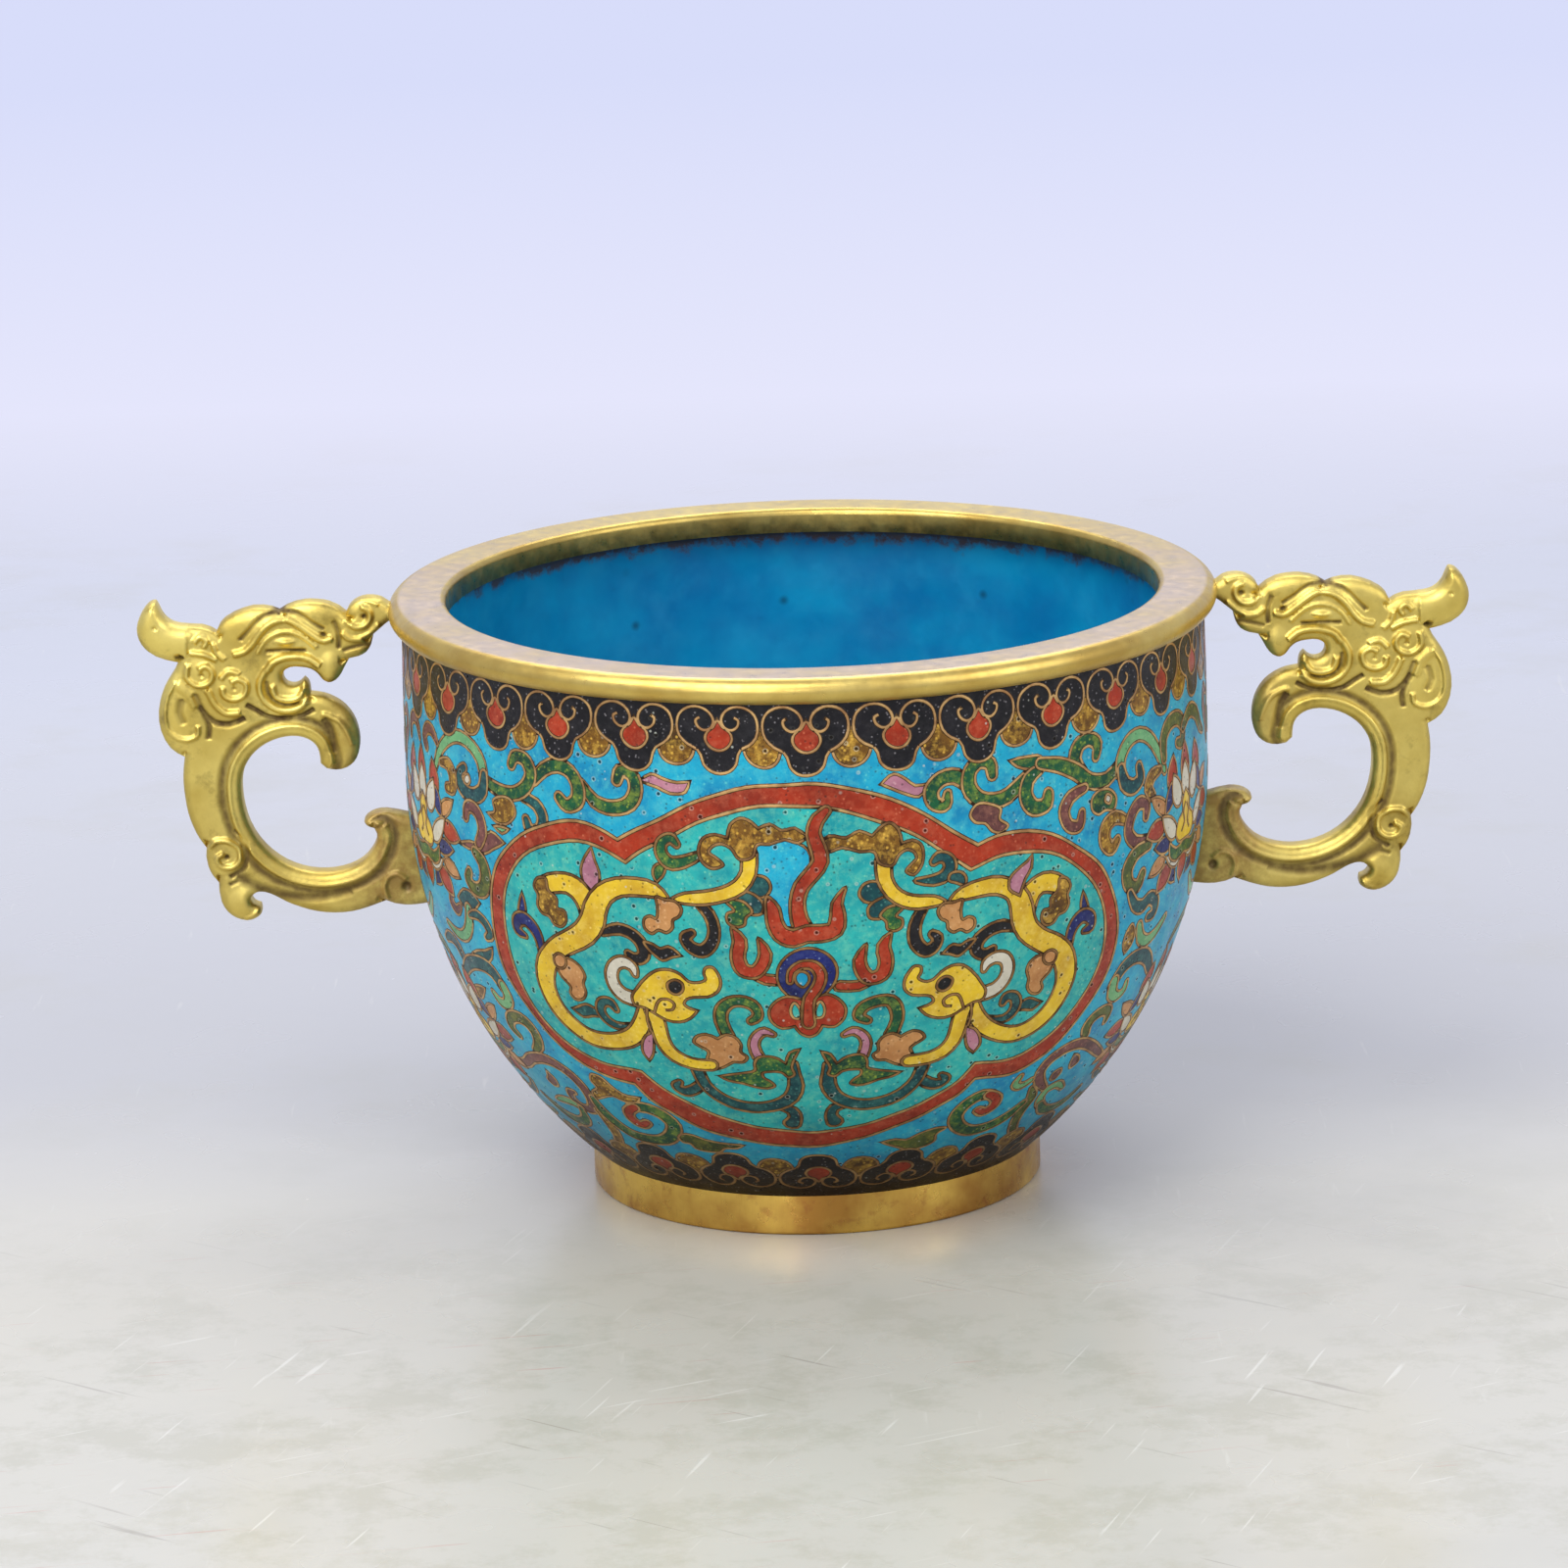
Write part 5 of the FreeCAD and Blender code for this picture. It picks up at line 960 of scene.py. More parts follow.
# Handle: outline as shares of its reach out from the rim and of its height, one row for each
# smooth stretch between two corners. The wall closes it.
HANDLE_REACH = 34.0
HANDLE_HEIGHT = 45.0
HANDLE_DROP = 44.0
HANDLE_BASE = CUP_HEIGHT - HANDLE_DROP
HANDLE_EDGE_HALF = 0.95
HANDLE_HALF = 2.0
HANDLE_ROUND = 1.2
HANDLE_MOST = 2.84
HANDLE_STEP = 0.24
HANDLE_EDGE_ROWS = (0.08, 0.22, 0.42)
TRIANGLE_HEIGHT = 0.87
WALL_SINK = 0.7
FINGER_BAND = 1.9
FINGER_BAND_RISE = 0.3
FINGER_EDGE_RISE = 0.55
FINGER_GROOVE = 0.3
FINGER_EDGE_SHARES = [
    (0.091, 0.274), (0.081, 0.257), (0.086, 0.233), (0.107, 0.204), (0.143, 0.176),
    (0.192, 0.157), (0.252, 0.146), (0.315, 0.145), (0.378, 0.154), (0.441, 0.174),
    (0.497, 0.205), (0.544, 0.246), (0.578, 0.295), (0.597, 0.348), (0.603, 0.400),
    (0.600, 0.440), (0.586, 0.475), (0.560, 0.506), (0.522, 0.532), (0.473, 0.552),
    (0.422, 0.562), (0.371, 0.562), (0.333, 0.552), (0.307, 0.535), (0.294, 0.512),
    (0.290, 0.478)]
HANDLE_EDGE_SHARES = [
    [(-0.060, 0.945), (-0.003, 0.955), (0.025, 0.970), (0.063, 0.976), (0.102, 0.974),
     (0.133, 0.964), (0.154, 0.948), (0.166, 0.930)],
    [(0.166, 0.930), (0.193, 0.947), (0.231, 0.961), (0.280, 0.968), (0.326, 0.969),
     (0.364, 0.964), (0.396, 0.955), (0.426, 0.941)],
    [(0.426, 0.941), (0.455, 0.950), (0.490, 0.955), (0.529, 0.955), (0.567, 0.948),
     (0.602, 0.938), (0.637, 0.923), (0.662, 0.904), (0.676, 0.882)],
    [(0.676, 0.882), (0.700, 0.893), (0.732, 0.901), (0.770, 0.903), (0.812, 0.906),
     (0.844, 0.913), (0.868, 0.926), (0.886, 0.944), (0.898, 0.966)],
    [(0.898, 0.966), (0.908, 0.978), (0.924, 0.977), (0.952, 0.959), (0.973, 0.933),
     (0.984, 0.904), (0.983, 0.880), (0.970, 0.853), (0.945, 0.831), (0.914, 0.815),
     (0.875, 0.804), (0.830, 0.796)],
    [(0.830, 0.796), (0.845, 0.771), (0.868, 0.745), (0.892, 0.714), (0.907, 0.681),
     (0.915, 0.650), (0.916, 0.619), (0.910, 0.589), (0.896, 0.560), (0.877, 0.537),
     (0.851, 0.520), (0.822, 0.508)],
    [(0.822, 0.508), (0.829, 0.472), (0.832, 0.430), (0.828, 0.383), (0.819, 0.335),
     (0.803, 0.295), (0.781, 0.258), (0.754, 0.228)],
    [(0.754, 0.228), (0.757, 0.200), (0.751, 0.171), (0.735, 0.142), (0.712, 0.120)],
    [(0.712, 0.120), (0.712, 0.092), (0.705, 0.060), (0.685, 0.031), (0.651, 0.010),
     (0.606, 0.001), (0.569, 0.008), (0.548, 0.024), (0.550, 0.043)],
    [(0.550, 0.043), (0.576, 0.053), (0.586, 0.070), (0.564, 0.086), (0.532, 0.086),
     (0.490, 0.073), (0.448, 0.055), (0.392, 0.037), (0.329, 0.023), (0.259, 0.017),
     (0.189, 0.020), (0.126, 0.032), (0.077, 0.045), (0.055, 0.051)],
    [(0.055, 0.051), (0.021, 0.041), (-0.017, 0.036), (-0.063, 0.036), (-0.120, 0.042)],
    None,
    [(-0.150, 0.300), (-0.049, 0.311), (0.000, 0.320), (0.042, 0.325), (0.084, 0.322),
     (0.116, 0.310), (0.129, 0.295), (0.118, 0.283), (0.091, 0.274)],
    FINGER_EDGE_SHARES,
    [(0.290, 0.478), (0.268, 0.463), (0.231, 0.456), (0.189, 0.462), (0.158, 0.479),
     (0.139, 0.507), (0.133, 0.543), (0.139, 0.581), (0.155, 0.615), (0.184, 0.646),
     (0.224, 0.669), (0.266, 0.683), (0.317, 0.690)],
    [(0.317, 0.690), (0.319, 0.710), (0.327, 0.727), (0.339, 0.736)],
    [(0.339, 0.736), (0.355, 0.724), (0.382, 0.717), (0.408, 0.723), (0.422, 0.741),
     (0.417, 0.761), (0.392, 0.772), (0.350, 0.772), (0.310, 0.765), (0.285, 0.750),
     (0.267, 0.732), (0.242, 0.723), (0.216, 0.730), (0.193, 0.750), (0.175, 0.775),
     (0.160, 0.794)],
    [(0.160, 0.794), (0.123, 0.800), (0.091, 0.813), (0.071, 0.837), (0.061, 0.866)],
    [(0.061, 0.866), (0.032, 0.884), (-0.003, 0.905), (-0.060, 0.915)],
]

# Relief of the handle, in millimetres out from the rim and up from the handle's lowest point:
# height (negative for a groove), width, and the line
HANDLE_LINES = [
    # nose: its lower edge, its scroll and the creases behind it
    (0.5, 1.0, [(1.2, 40.4), (2.4, 39.2), (3.8, 38.6), (5.3, 38.7), (6.3, 39.6)]),
    (0.5, 0.9, [(5.6, 41.2), (4.6, 40.3), (3.3, 40.3), (2.4, 41.3), (2.6, 42.5), (3.6, 42.9)]),
    (0.5, 0.9, [(5.7, 42.3), (4.8, 43.5), (2.9, 43.9), (1.2, 43.2)]),
    (-0.35, 0.9, [(7.2, 41.2), (6.6, 39.3), (6.7, 37.4)]),
    (-0.3, 0.9, [(2.6, 37.8), (4.6, 37.5), (6.2, 37.0)]),
    (-0.45, 0.8, [(14.4, 43.2), (14.6, 42.1)]),
    # brow with the groove over it
    (0.7, 1.1, [(20.8, 36.9), (19.2, 37.3), (18.0, 38.5), (16.8, 40.1), (15.3, 41.2),
                (13.4, 41.5), (11.8, 40.6), (10.1, 39.3), (8.6, 38.5), (7.5, 38.8)]),
    (-0.4, 1.0, [(19.8, 38.8), (18.4, 40.2), (16.6, 41.9), (14.2, 42.6), (12.0, 42.3),
                 (10.2, 41.0), (8.6, 40.0)]),
    # lid round the eye
    (0.35, 0.7, [(17.6, 36.9), (16.5, 38.6), (14.9, 39.6), (12.7, 39.7), (10.9, 38.7),
                 (9.6, 37.5)]),
    (-0.35, 0.8, [(16.4, 37.2), (13.7, 37.3), (11.0, 37.2)]),
    # upper lip, the two rings of the mouth and the grooves round them
    (0.84, 1.2, [(9.3, 35.0), (10.6, 36.1), (12.3, 36.5), (14.2, 36.3), (15.7, 35.6),
                 (16.4, 34.6)]),
    (0.65, 1.1, [(16.5, 34.7), (17.3, 33.3), (17.3, 31.4), (16.1, 29.8), (14.1, 29.1),
                 (12.2, 29.5), (11, 30.6)]),
    (0.6, 1.0, [(15.8, 32.6), (15.3, 31), (13.8, 30.5), (12.2, 30.9), (11.4, 32.2)]),
    (-0.3, 0.7, [(16.5, 33.2), (16.3, 31.4), (15.3, 30.3), (13.7, 29.8), (12.1, 30.2)]),
    (-0.5, 1.0, [(19.4, 30.0), (18, 29.2), (16.6, 28.3), (14.1, 28.0), (12, 28.3),
                 (10.3, 29.2)]),
    # small cheek curl
    (0.6, 0.9, [(22.4, 32.5), (22.2, 31.4), (21, 30.8), (19.5, 31.4), (19.2, 32.9),
                (20.4, 33.6), (21.3, 33.1)]),
    (0.5, 0.9, [(22.6, 33.6), (21.4, 34.7), (20, 34.2)]),
    # large cheek curl
    (0.65, 0.9, [(26.8, 35.7), (27.1, 34.1), (25.7, 32.8), (24.1, 33.2), (23.6, 34.5),
                 (24.5, 35.5), (25.5, 35.0)]),
    # root of the horn
    (0.6, 0.9, [(25.9, 38.7), (25.0, 39.5), (24.2, 38.8), (24.7, 38.0)]),
    (0.5, 0.9, [(23.4, 38.5), (23.0, 37.2), (21.9, 36.2)]),
    (0.6, 0.9, [(26.6, 37.3), (24.6, 37.0), (22.9, 36.2)]),
    (0.55, 4.4, [(31.1, 43.2), (31.5, 41.2), (30.2, 39.6), (28.2, 38.9), (26.8, 38.8)]),
    (-0.4, 0.9, [(28.6, 36.6), (27.4, 36.6)]),
    # jaw
    (0.6, 1.1, [(20.2, 29.0), (22.0, 28.9), (23.4, 30.1), (24.4, 32.2)]),
    (-0.45, 1.2, [(26.2, 31.6), (25.3, 29.4), (23.8, 27.8), (21.6, 27.4), (19.6, 28.2)]),
    # mane
    (0.5, 0.8, [(28.6, 33.3), (29.7, 31.6), (30.2, 29.4), (30.0, 27.2), (29, 25.9),
                (27.4, 25.4), (25.9, 26.2), (25.9, 27.3)]),
    (0.35, 1.6, [(28.4, 33.0), (26.8, 31.6), (26.0, 29.8)]),
    (-0.35, 1.4, [(27.8, 31.0), (28.3, 29.2), (27.7, 27.6)]),
    (-0.4, 1.1, [(25.0, 28.8), (24.4, 27.3), (24.6, 25.4)]),
    # back scroll
    (0.6, 0.9, [(25.4, 10.3), (24.4, 11.3), (22.6, 11.3), (21.2, 10.2), (21.2, 8.6),
                (22.3, 7.7), (23.8, 8.0), (24.2, 9.0), (23.4, 9.6)]),
    (-0.4, 1.1, [(21.8, 12.8), (20.4, 11.2), (20.1, 9.4), (20.9, 7.3), (22.6, 6.3)]),
    # beard
    (-0.4, 2.0, [(9.2, 27.8), (8.4, 26.4), (7.9, 24.6), (7.9, 23.2)]),
    (0.45, 0.9, [(9.4, 28.5), (7.2, 27.6), (6.0, 25.9), (5.4, 24.2)]),
    # hollow of the lower arm, dark with age
    (-0.3, 2.4, [(21.6, 6.4), (18.6, 4.6), (14.6, 3.5), (10.2, 3.4), (6.4, 4.2)]),
    (-0.3, 1.8, [(1.1, 12.9), (1.2, 10.6), (1.3, 8.4)]),
    # pad on the wall
    (0.55, 0.9, [(1.5, 2.7), (2.0, 4.2), (1.4, 5.8), (0.1, 6.2), (-1, 5.4)]),
    (0.5, 0.9, [(4.3, 13.1), (3.2, 14.2), (1.4, 14.8), (-0.6, 14.6)]),
    (-0.4, 0.8, [(4.0, 11.9), (2.9, 12.5), (1.6, 13.2)]),
    # claw
    (0.4, 0.9, [(21.0, 0.3), (19.4, 0.9), (18.7, 2.2)]),
    (-0.3, 0.9, [(22.8, 5.2), (21, 5.8), (19.4, 5.2)]),
]
# Domes and pits of the handle: height, middle, radii, turn in degrees
HANDLE_DOMES = [
    (0.25, (9.9, 41.6), (4.2, 2.2), 4), (0.25, (18.3, 40.6), (4.2, 2.0), -20),
    (0.6, (13.8, 38.4), (1.7, 0.6), 0), (0.25, (5.2, 39.8), (3.0, 2.4), -20),
    (-0.55, (8.7, 39.3), (0.6, 0.45), 20), (-0.5, (3.2, 41.6), (0.5, 0.5), 0),
    (0.3, (8.0, 35.2), (1.6, 2.2), 0), (0.25, (20.9, 32.5), (2.8, 2.8), 0),
    (0.25, (25.2, 34.5), (2.6, 2.6), 0), (0.2, (28.0, 29.0), (3.0, 4.4), 0),
    (-0.6, (-1.0, 4.4), (0.9, 1.0), 0), (0.35, (20.6, 2.8), (2.8, 2.6), 0),
    (-0.5, (22.9, 9.1), (0.5, 0.5), 0), (-0.45, (25.1, 34.2), (0.45, 0.45), 0),
    (-0.4, (20.8, 32.3), (0.4, 0.4), 0), (0.3, (6.4, 25.2), (2.0, 4.4), 0),
    (-0.4, (31.0, 40.8), (0.35, 0.35), 0),
]


def in_handle(shares):
    return np.array(shares) * (HANDLE_REACH, HANDLE_HEIGHT)


def bump(gap, width):
    """Rounded profile, 1 on its line and 0 from half its width on."""
    t = np.clip(2 * gap / width, 0, 1)
    return (1 - t * t) ** 2


def handle_relief(places, free_edges):
    """Half thickness of the handle at each place, and how proud the place stands."""
    rise = np.zeros(len(places))
    sink = np.zeros(len(places))
    for high, wide, line in HANDLE_LINES:
        shape = bump(distance(places, smooth(line), False), wide)
        if high > 0:
            rise = np.maximum(rise, high * np.sqrt(shape))
        else:
            sink = np.maximum(sink, -high * shape)
    finger = np.minimum(distance(places, smooth(in_handle(FINGER_EDGE_SHARES)), False), 99)
    rise = np.maximum(rise, FINGER_BAND_RISE * np.clip((FINGER_BAND - finger) / 0.3, 0, 1))
    edge = bump(np.abs(finger - FINGER_BAND + 0.35), 0.9)
    rise = np.maximum(rise, FINGER_EDGE_RISE * np.sqrt(edge))
    sink = np.maximum(sink, FINGER_GROOVE * bump(np.abs(finger - FINGER_BAND - 0.7), 1.6))
    domes = np.zeros(len(places))
    for high, middle, radii, turn in HANDLE_DOMES:
        c, s = math.cos(math.radians(turn)), math.sin(math.radians(turn))
        away = places - middle
        across = np.column_stack([away @ (c, s), away @ (-s, c)]) / radii
        domes += high * bump(np.linalg.norm(across, axis=1), 2)
    relief = domes + rise - sink
    edge = np.full(len(places), np.inf)
    for row in free_edges:
        edge = np.minimum(edge, distance(places, np.vstack([2 * row[:1] - row[1:2], row]), False))
        edge = np.minimum(edge, np.linalg.norm(places[:, None] - row[None, ::6], axis=2).min(1))
    t = np.clip(edge / HANDLE_ROUND, 0, 1)
    shoulder = np.sqrt(1 - (1 - t) ** 2)
    body = np.minimum(HANDLE_HALF + relief, HANDLE_MOST)
    return HANDLE_EDGE_HALF + (body - HANDLE_EDGE_HALF) * shoulder, relief


def wall_row():
    """Line on which the pad ends, just inside the wall."""
    low, high = (in_handle(HANDLE_EDGE_SHARES[i][j])[1] for i, j in ((10, -1), (12, 0)))
    heights = np.linspace(low, high, 9)
    return np.column_stack([wall_radius(HANDLE_BASE + heights) - WALL_SINK - RIM_RADIUS, heights])


def trimmed(row):
    """A row of the outline, ended where it enters the wall."""
    limit = wall_radius(HANDLE_BASE + row[:, 1]) - WALL_SINK - RIM_RADIUS
    return row[(row[:, 0] > limit) | (row[:, 1] > HANDLE_HEIGHT * 0.8)]


def build_handles():
    rows = [wall_row() if r is None else trimmed(smooth(in_handle(r))) for r in HANDLE_EDGE_SHARES]
    loop = thinned(np.vstack(rows), True)
    dense = []
    for a, b in zip(loop, np.roll(loop, -1, 0)):
        count = max(1, round(float(np.hypot(*(b - a))) / HANDLE_STEP))
        dense += [a + (b - a) * k / count for k in range(count)]
    loop = np.array(dense)
    points = [loop]
    for depth in HANDLE_EDGE_ROWS:
        ring = np.vstack([beside(loop, np.full(len(loop), s * depth), True) for s in (1, -1)])
        ring = ring[inside(ring, loop)]
        points.append(ring[distance(ring, loop, True) > depth * 0.93])
    low, high = loop.min(0), loop.max(0)
    rows_up = np.arange(low[1], high[1], HANDLE_STEP * TRIANGLE_HEIGHT)
    grid = np.array([(x + HANDLE_STEP * 0.5 * (j % 2), z) for j, z in enumerate(rows_up)
                     for x in np.arange(low[0], high[0], HANDLE_STEP)])
    grid = grid[inside(grid, loop)]
    points.append(grid[distance(grid, loop, True) > HANDLE_EDGE_ROWS[-1] + 0.4 * HANDLE_STEP])
    n = len(loop)
    edges = [(i, (i + 1) % n) for i in range(n)]
    result = delaunay_2d_cdt([Vector(p) for p in np.vstack(points)], edges, [], 0, CLOSE, False)
    places = np.array([tuple(p) for p in result[0]])
    faces = np.array([f for f in result[2] if len(f) == 3])
    faces = faces[inside(places[faces].mean(1), loop)]
    used, faces = np.unique(faces, return_inverse=True)
    places, faces = places[used], faces.reshape(-1, 3)
    free = [r for r, shares in zip(rows, HANDLE_EDGE_SHARES) if shares is not None]
    half, relief = handle_relief(places, free)
    all_faces = closed_faces(faces, len(places))
    for name, side in (("right_handle", 1), ("left_handle", -1)):
        x, z = side * (RIM_RADIUS + places[:, 0]), HANDLE_BASE + places[:, 1]
        verts = np.vstack([np.column_stack([x, -half, z]), np.column_stack([x, half, z])])
        turned = all_faces if side > 0 else [f[::-1] for f in all_faces]
        piece = new_object(name + "_gilt", verts, turned, np.tile(relief, 2), sharp=70)
        piece.data.materials.append(materials["gilt"])
        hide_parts(name)


# Materials

def rgb(red, green, blue):
    """Linear colour from the 0 to 255 values that it shows as."""
    out = []
    for value in (red, green, blue):
        c = value / 255
        out.append(c / 12.92 if c <= 0.04045 else ((c + 0.055) / 1.055) ** 2.4)
    return (*out, 1)


class Finish:
    """A material made of nodes, with short helpers for the usual links.

    Sizes are in millimetres, and colour is what the helpers have laid down so far.
    """

    def __init__(self, name, colour=None):
        self.material = bpy.data.materials.new(name)
        self.material.use_nodes = True
        self.tree = self.material.node_tree
        self.shader = self.tree.nodes["Principled BSDF"]
        self.place = self.node("ShaderNodeTexCoord").outputs["Object"]
        self.colour = colour and rgb(*colour)

    def node(self, kind, **settings):
        made = self.tree.nodes.new(kind)
        for key, value in settings.items():
            setattr(made, key, value)
        return made

    def link(self, start, end):
        self.tree.links.new(start, end)

    def put(self, socket, value):
        """Give a socket a plain value or link it to another node's output."""
        if isinstance(value, (int, float, tuple)):
            socket.default_value = value
        else:
            self.link(value, socket)

    def set(self, name, value):
        self.put(self.shader.inputs[name], value)

    def axis(self, name, place=None):
        """One coordinate of the place on the cup, in metres."""
        split = self.node("ShaderNodeSeparateXYZ")
        self.link(place or self.place, split.inputs[0])
        return split.outputs[name]

    def stretched(self, x, y, z, degrees=0.0):
        """The place, turned about the cup's axis and then scaled."""
        turned = self.node("ShaderNodeMapping")
        turned.inputs["Rotation"].default_value = (0, 0, math.radians(degrees))
        self.link(self.place, turned.inputs["Vector"])
        mapping = self.node("ShaderNodeMapping")
        mapping.inputs["Scale"].default_value = (x, y, z)
        self.link(turned.outputs["Vector"], mapping.inputs["Vector"])
        return mapping.outputs["Vector"]

    def noise(self, size, detail=3, rough=0.55, place=None):
        made = self.node("ShaderNodeTexNoise")
        made.inputs["Scale"].default_value = 1 / (size * MM)
        made.inputs["Detail"].default_value = detail
        made.inputs["Roughness"].default_value = rough
        self.link(place or self.place, made.inputs["Vector"])
        return made.outputs["Fac"]

    def cells(self, size):
        """Distance from the middle of the nearest cell, and that cell's random value."""
        made = self.node("ShaderNodeTexVoronoi", feature="F1")
        made.inputs["Scale"].default_value = 1 / (size * MM)
        self.link(self.place, made.inputs["Vector"])
        return made.outputs["Distance"], made.outputs["Color"]

    def ramp(self, value, low, high, start=0.0, end=1.0):
        made = self.node("ShaderNodeMapRange")
        for key, number in zip(("From Min", "From Max", "To Min", "To Max"),
                               (low, high, start, end)):
            made.inputs[key].default_value = number
        self.link(value, made.inputs["Value"])
        return made.outputs["Result"]

    def fade(self, value, low, high, start=0.0, end=1.0):
        """A ramp over a length, whose ends are in millimetres."""
        return self.ramp(value, low * MM, high * MM, start, end)

    def math(self, kind, a, b):
        made = self.node("ShaderNodeMath", operation=kind)
        for socket, value in zip(made.inputs, (a, b)):
            self.put(socket, value)
        return made.outputs[0]

    def times(self, product, *others):
        for other in others:
            product = self.math("MULTIPLY", product, other)
        return product

    def mix(self, share, a, b):
        made = self.node("ShaderNodeMix", data_type="RGBA")
        for socket, value in ((made.inputs["Factor"], share), (made.inputs[6], a),
                              (made.inputs[7], b)):
            self.put(socket, value)
        return made.outputs[2]

    def lay(self, share, colour):
        """Lay a colour over what is there."""
        self.colour = self.mix(share, self.colour, rgb(*colour))

    def relief(self):
        made = self.node("ShaderNodeAttribute", attribute_name="relief")
        return made.outputs["Fac"]

    def bump(self, value, depth, normal=None):
        made = self.node("ShaderNodeBump")
        made.inputs["Distance"].default_value = depth * MM
        made.inputs["Strength"].default_value = 1.0
        self.link(value, made.inputs["Height"])
        if normal is not None:
            self.link(normal, made.inputs["Normal"])
        return made.outputs["Normal"]


# Enamel colours: main, second, flecks, how many flecks, how grainy, record slot
PALETTE = {
    "sky": ((28, 170, 200), (10, 128, 174), (96, 200, 196), 0.05, 0.5, "sky_enamel"),
    "turquoise": ((44, 178, 172), (18, 140, 150), (124, 208, 170), 0.06, 0.5,
                  "turquoise_enamel"),
    "red": ((168, 50, 22), (128, 36, 16), (206, 112, 80), 0.07, 0.4, "red_enamel"),
    "yellow": ((232, 196, 42), (198, 156, 40), (244, 222, 120), 0.05, 0.4, "yellow_enamel"),
    "black": ((19, 17, 22), (10, 9, 12), (150, 146, 150), 0.16, 0.05, "black_enamel"),
    "amber": ((134, 92, 26), (66, 42, 14), (238, 190, 78), 0.55, 0.85, "amber_enamel"),
    "navy": ((22, 34, 108), (12, 18, 72), (150, 170, 206), 0.12, 0.1, "navy_enamel"),
    "green": ((22, 92, 54), (14, 58, 44), (156, 176, 60), 0.34, 0.6, "green_enamel"),
    "teal": ((16, 76, 78), (10, 48, 58), (80, 140, 130), 0.24, 0.5, "green_enamel"),
    "leaf": ((112, 176, 118), (84, 144, 100), (176, 210, 150), 0.16, 0.3, "green_enamel"),
    "olive": ((78, 94, 40), (50, 62, 30), (156, 150, 60), 0.32, 0.6, "green_enamel"),
    "white": ((212, 206, 188), (184, 178, 160), (234, 230, 216), 0.12, 0.3, "white_enamel"),
    "peach": ((196, 140, 84), (166, 112, 64), (224, 180, 126), 0.2, 0.4, "amber_enamel"),
    "mauve": ((184, 124, 142), (148, 94, 114), (214, 170, 176), 0.14, 0.3, "white_enamel"),
    "rust": ((112, 66, 62), (76, 44, 46), (176, 120, 98), 0.24, 0.5, "amber_enamel"),
}
CHIP = (196, 200, 188)
# Pale colour of the painted highlights on the rims of open pits
PIT_RIM_HIGHLIGHT = (206, 206, 188)
PIT = (24, 20, 16)
# Colour of the painted shade low on the cup
SHADE_NEAR_FOOT = (26, 22, 16)
# Dark grime of wire edges, also the painted shade on the wires low on the cup
WIRE_GRIME_AND_SHADE = (46, 32, 20)
# Heights over which the painted shade low on the cup fades in
SHADE_HEIGHTS = (25.0, 7.0)
DULL_HEIGHTS = (32.0, 12.0)


def enamel(name, main, second, fleck, amount, grainy):
    """Ground-glass enamel: clouded colour, flecks, chips, dark pits with painted highlight rims,
    painted shade near the foot.
    """
    f = Finish(name, main)
    clouds = f.ramp(f.noise(5.0, 4), 0.36, 0.66)
    grains = f.times(f.ramp(f.noise(0.55, 3, 0.7), 0.40, 0.66), grainy)
    f.lay(f.math("MAXIMUM", clouds, grains), second)
    f.lay(f.times(f.ramp(f.noise(1.3, 5, 0.7), 0.46, 0.66), min(0.5, 0.75 * grainy)), fleck)
    away, chance = f.cells(0.40 + 0.28 * grainy)
    chosen = f.ramp(chance, 0.80 - amount * 0.7, 0.84 - amount * 0.7)
    f.lay(f.times(f.ramp(away, 0.16, 0.38, 1, 0), chosen, 0.6), fleck)
    away, chance = f.cells(1.5)
    f.lay(f.times(f.ramp(away, 0.08, 0.13, 1, 0), f.ramp(chance, 0.68, 0.70), 0.6), CHIP)
    worn = f.times(f.ramp(f.noise(8, 3), 0.42, 0.60), 0.14)
    away, chance = f.cells(1.7)
    open_pit = f.ramp(f.math("ADD", chance, worn), 0.61, 0.63)
    # Painted highlight: pale rims round the open pits
    edge = f.times(f.ramp(away, 0.13, 0.17), f.ramp(away, 0.18, 0.24, 1, 0))
    f.lay(f.times(edge, open_pit, min(0.35, 0.7 * grainy)), PIT_RIM_HIGHLIGHT)
    pit = f.times(f.ramp(away, 0.10, 0.16, 1, 0), open_pit)
    away, chance = f.cells(0.75)
    speck = f.times(f.ramp(away, 0.12, 0.27, 1, 0),
                    f.ramp(f.math("ADD", chance, worn), 0.62, 0.65), 0.6)
    dark = f.math("MAXIMUM", pit, speck)
    f.lay(f.times(dark, 0.88), PIT)
    # Painted shade: darker in patches low on the wall, where it faces down towards the foot
    shade_mask = f.fade(f.axis("Z"), *SHADE_HEIGHTS, 0, 0.66)
    f.lay(f.times(shade_mask, f.ramp(f.noise(2.2, 4), 0.25, 0.6, 0.75, 1.0)), SHADE_NEAR_FOOT)
    f.set("Base Color", f.colour)
    f.set("Roughness", f.math("MAXIMUM", f.ramp(f.noise(3.2, 2), 0.3, 0.7, 0.26, 0.42), dark))
    f.set("Specular IOR Level", f.fade(f.axis("Z"), *DULL_HEIGHTS, 0.26, 0.1))
    waves = f.bump(f.noise(2.4, 2), 0.045)
    hollows = f.math("SUBTRACT", f.noise(0.5, 2), f.times(dark, 3.0))
    f.set("Normal", f.bump(hollows, 0.02, waves))
    return f.material


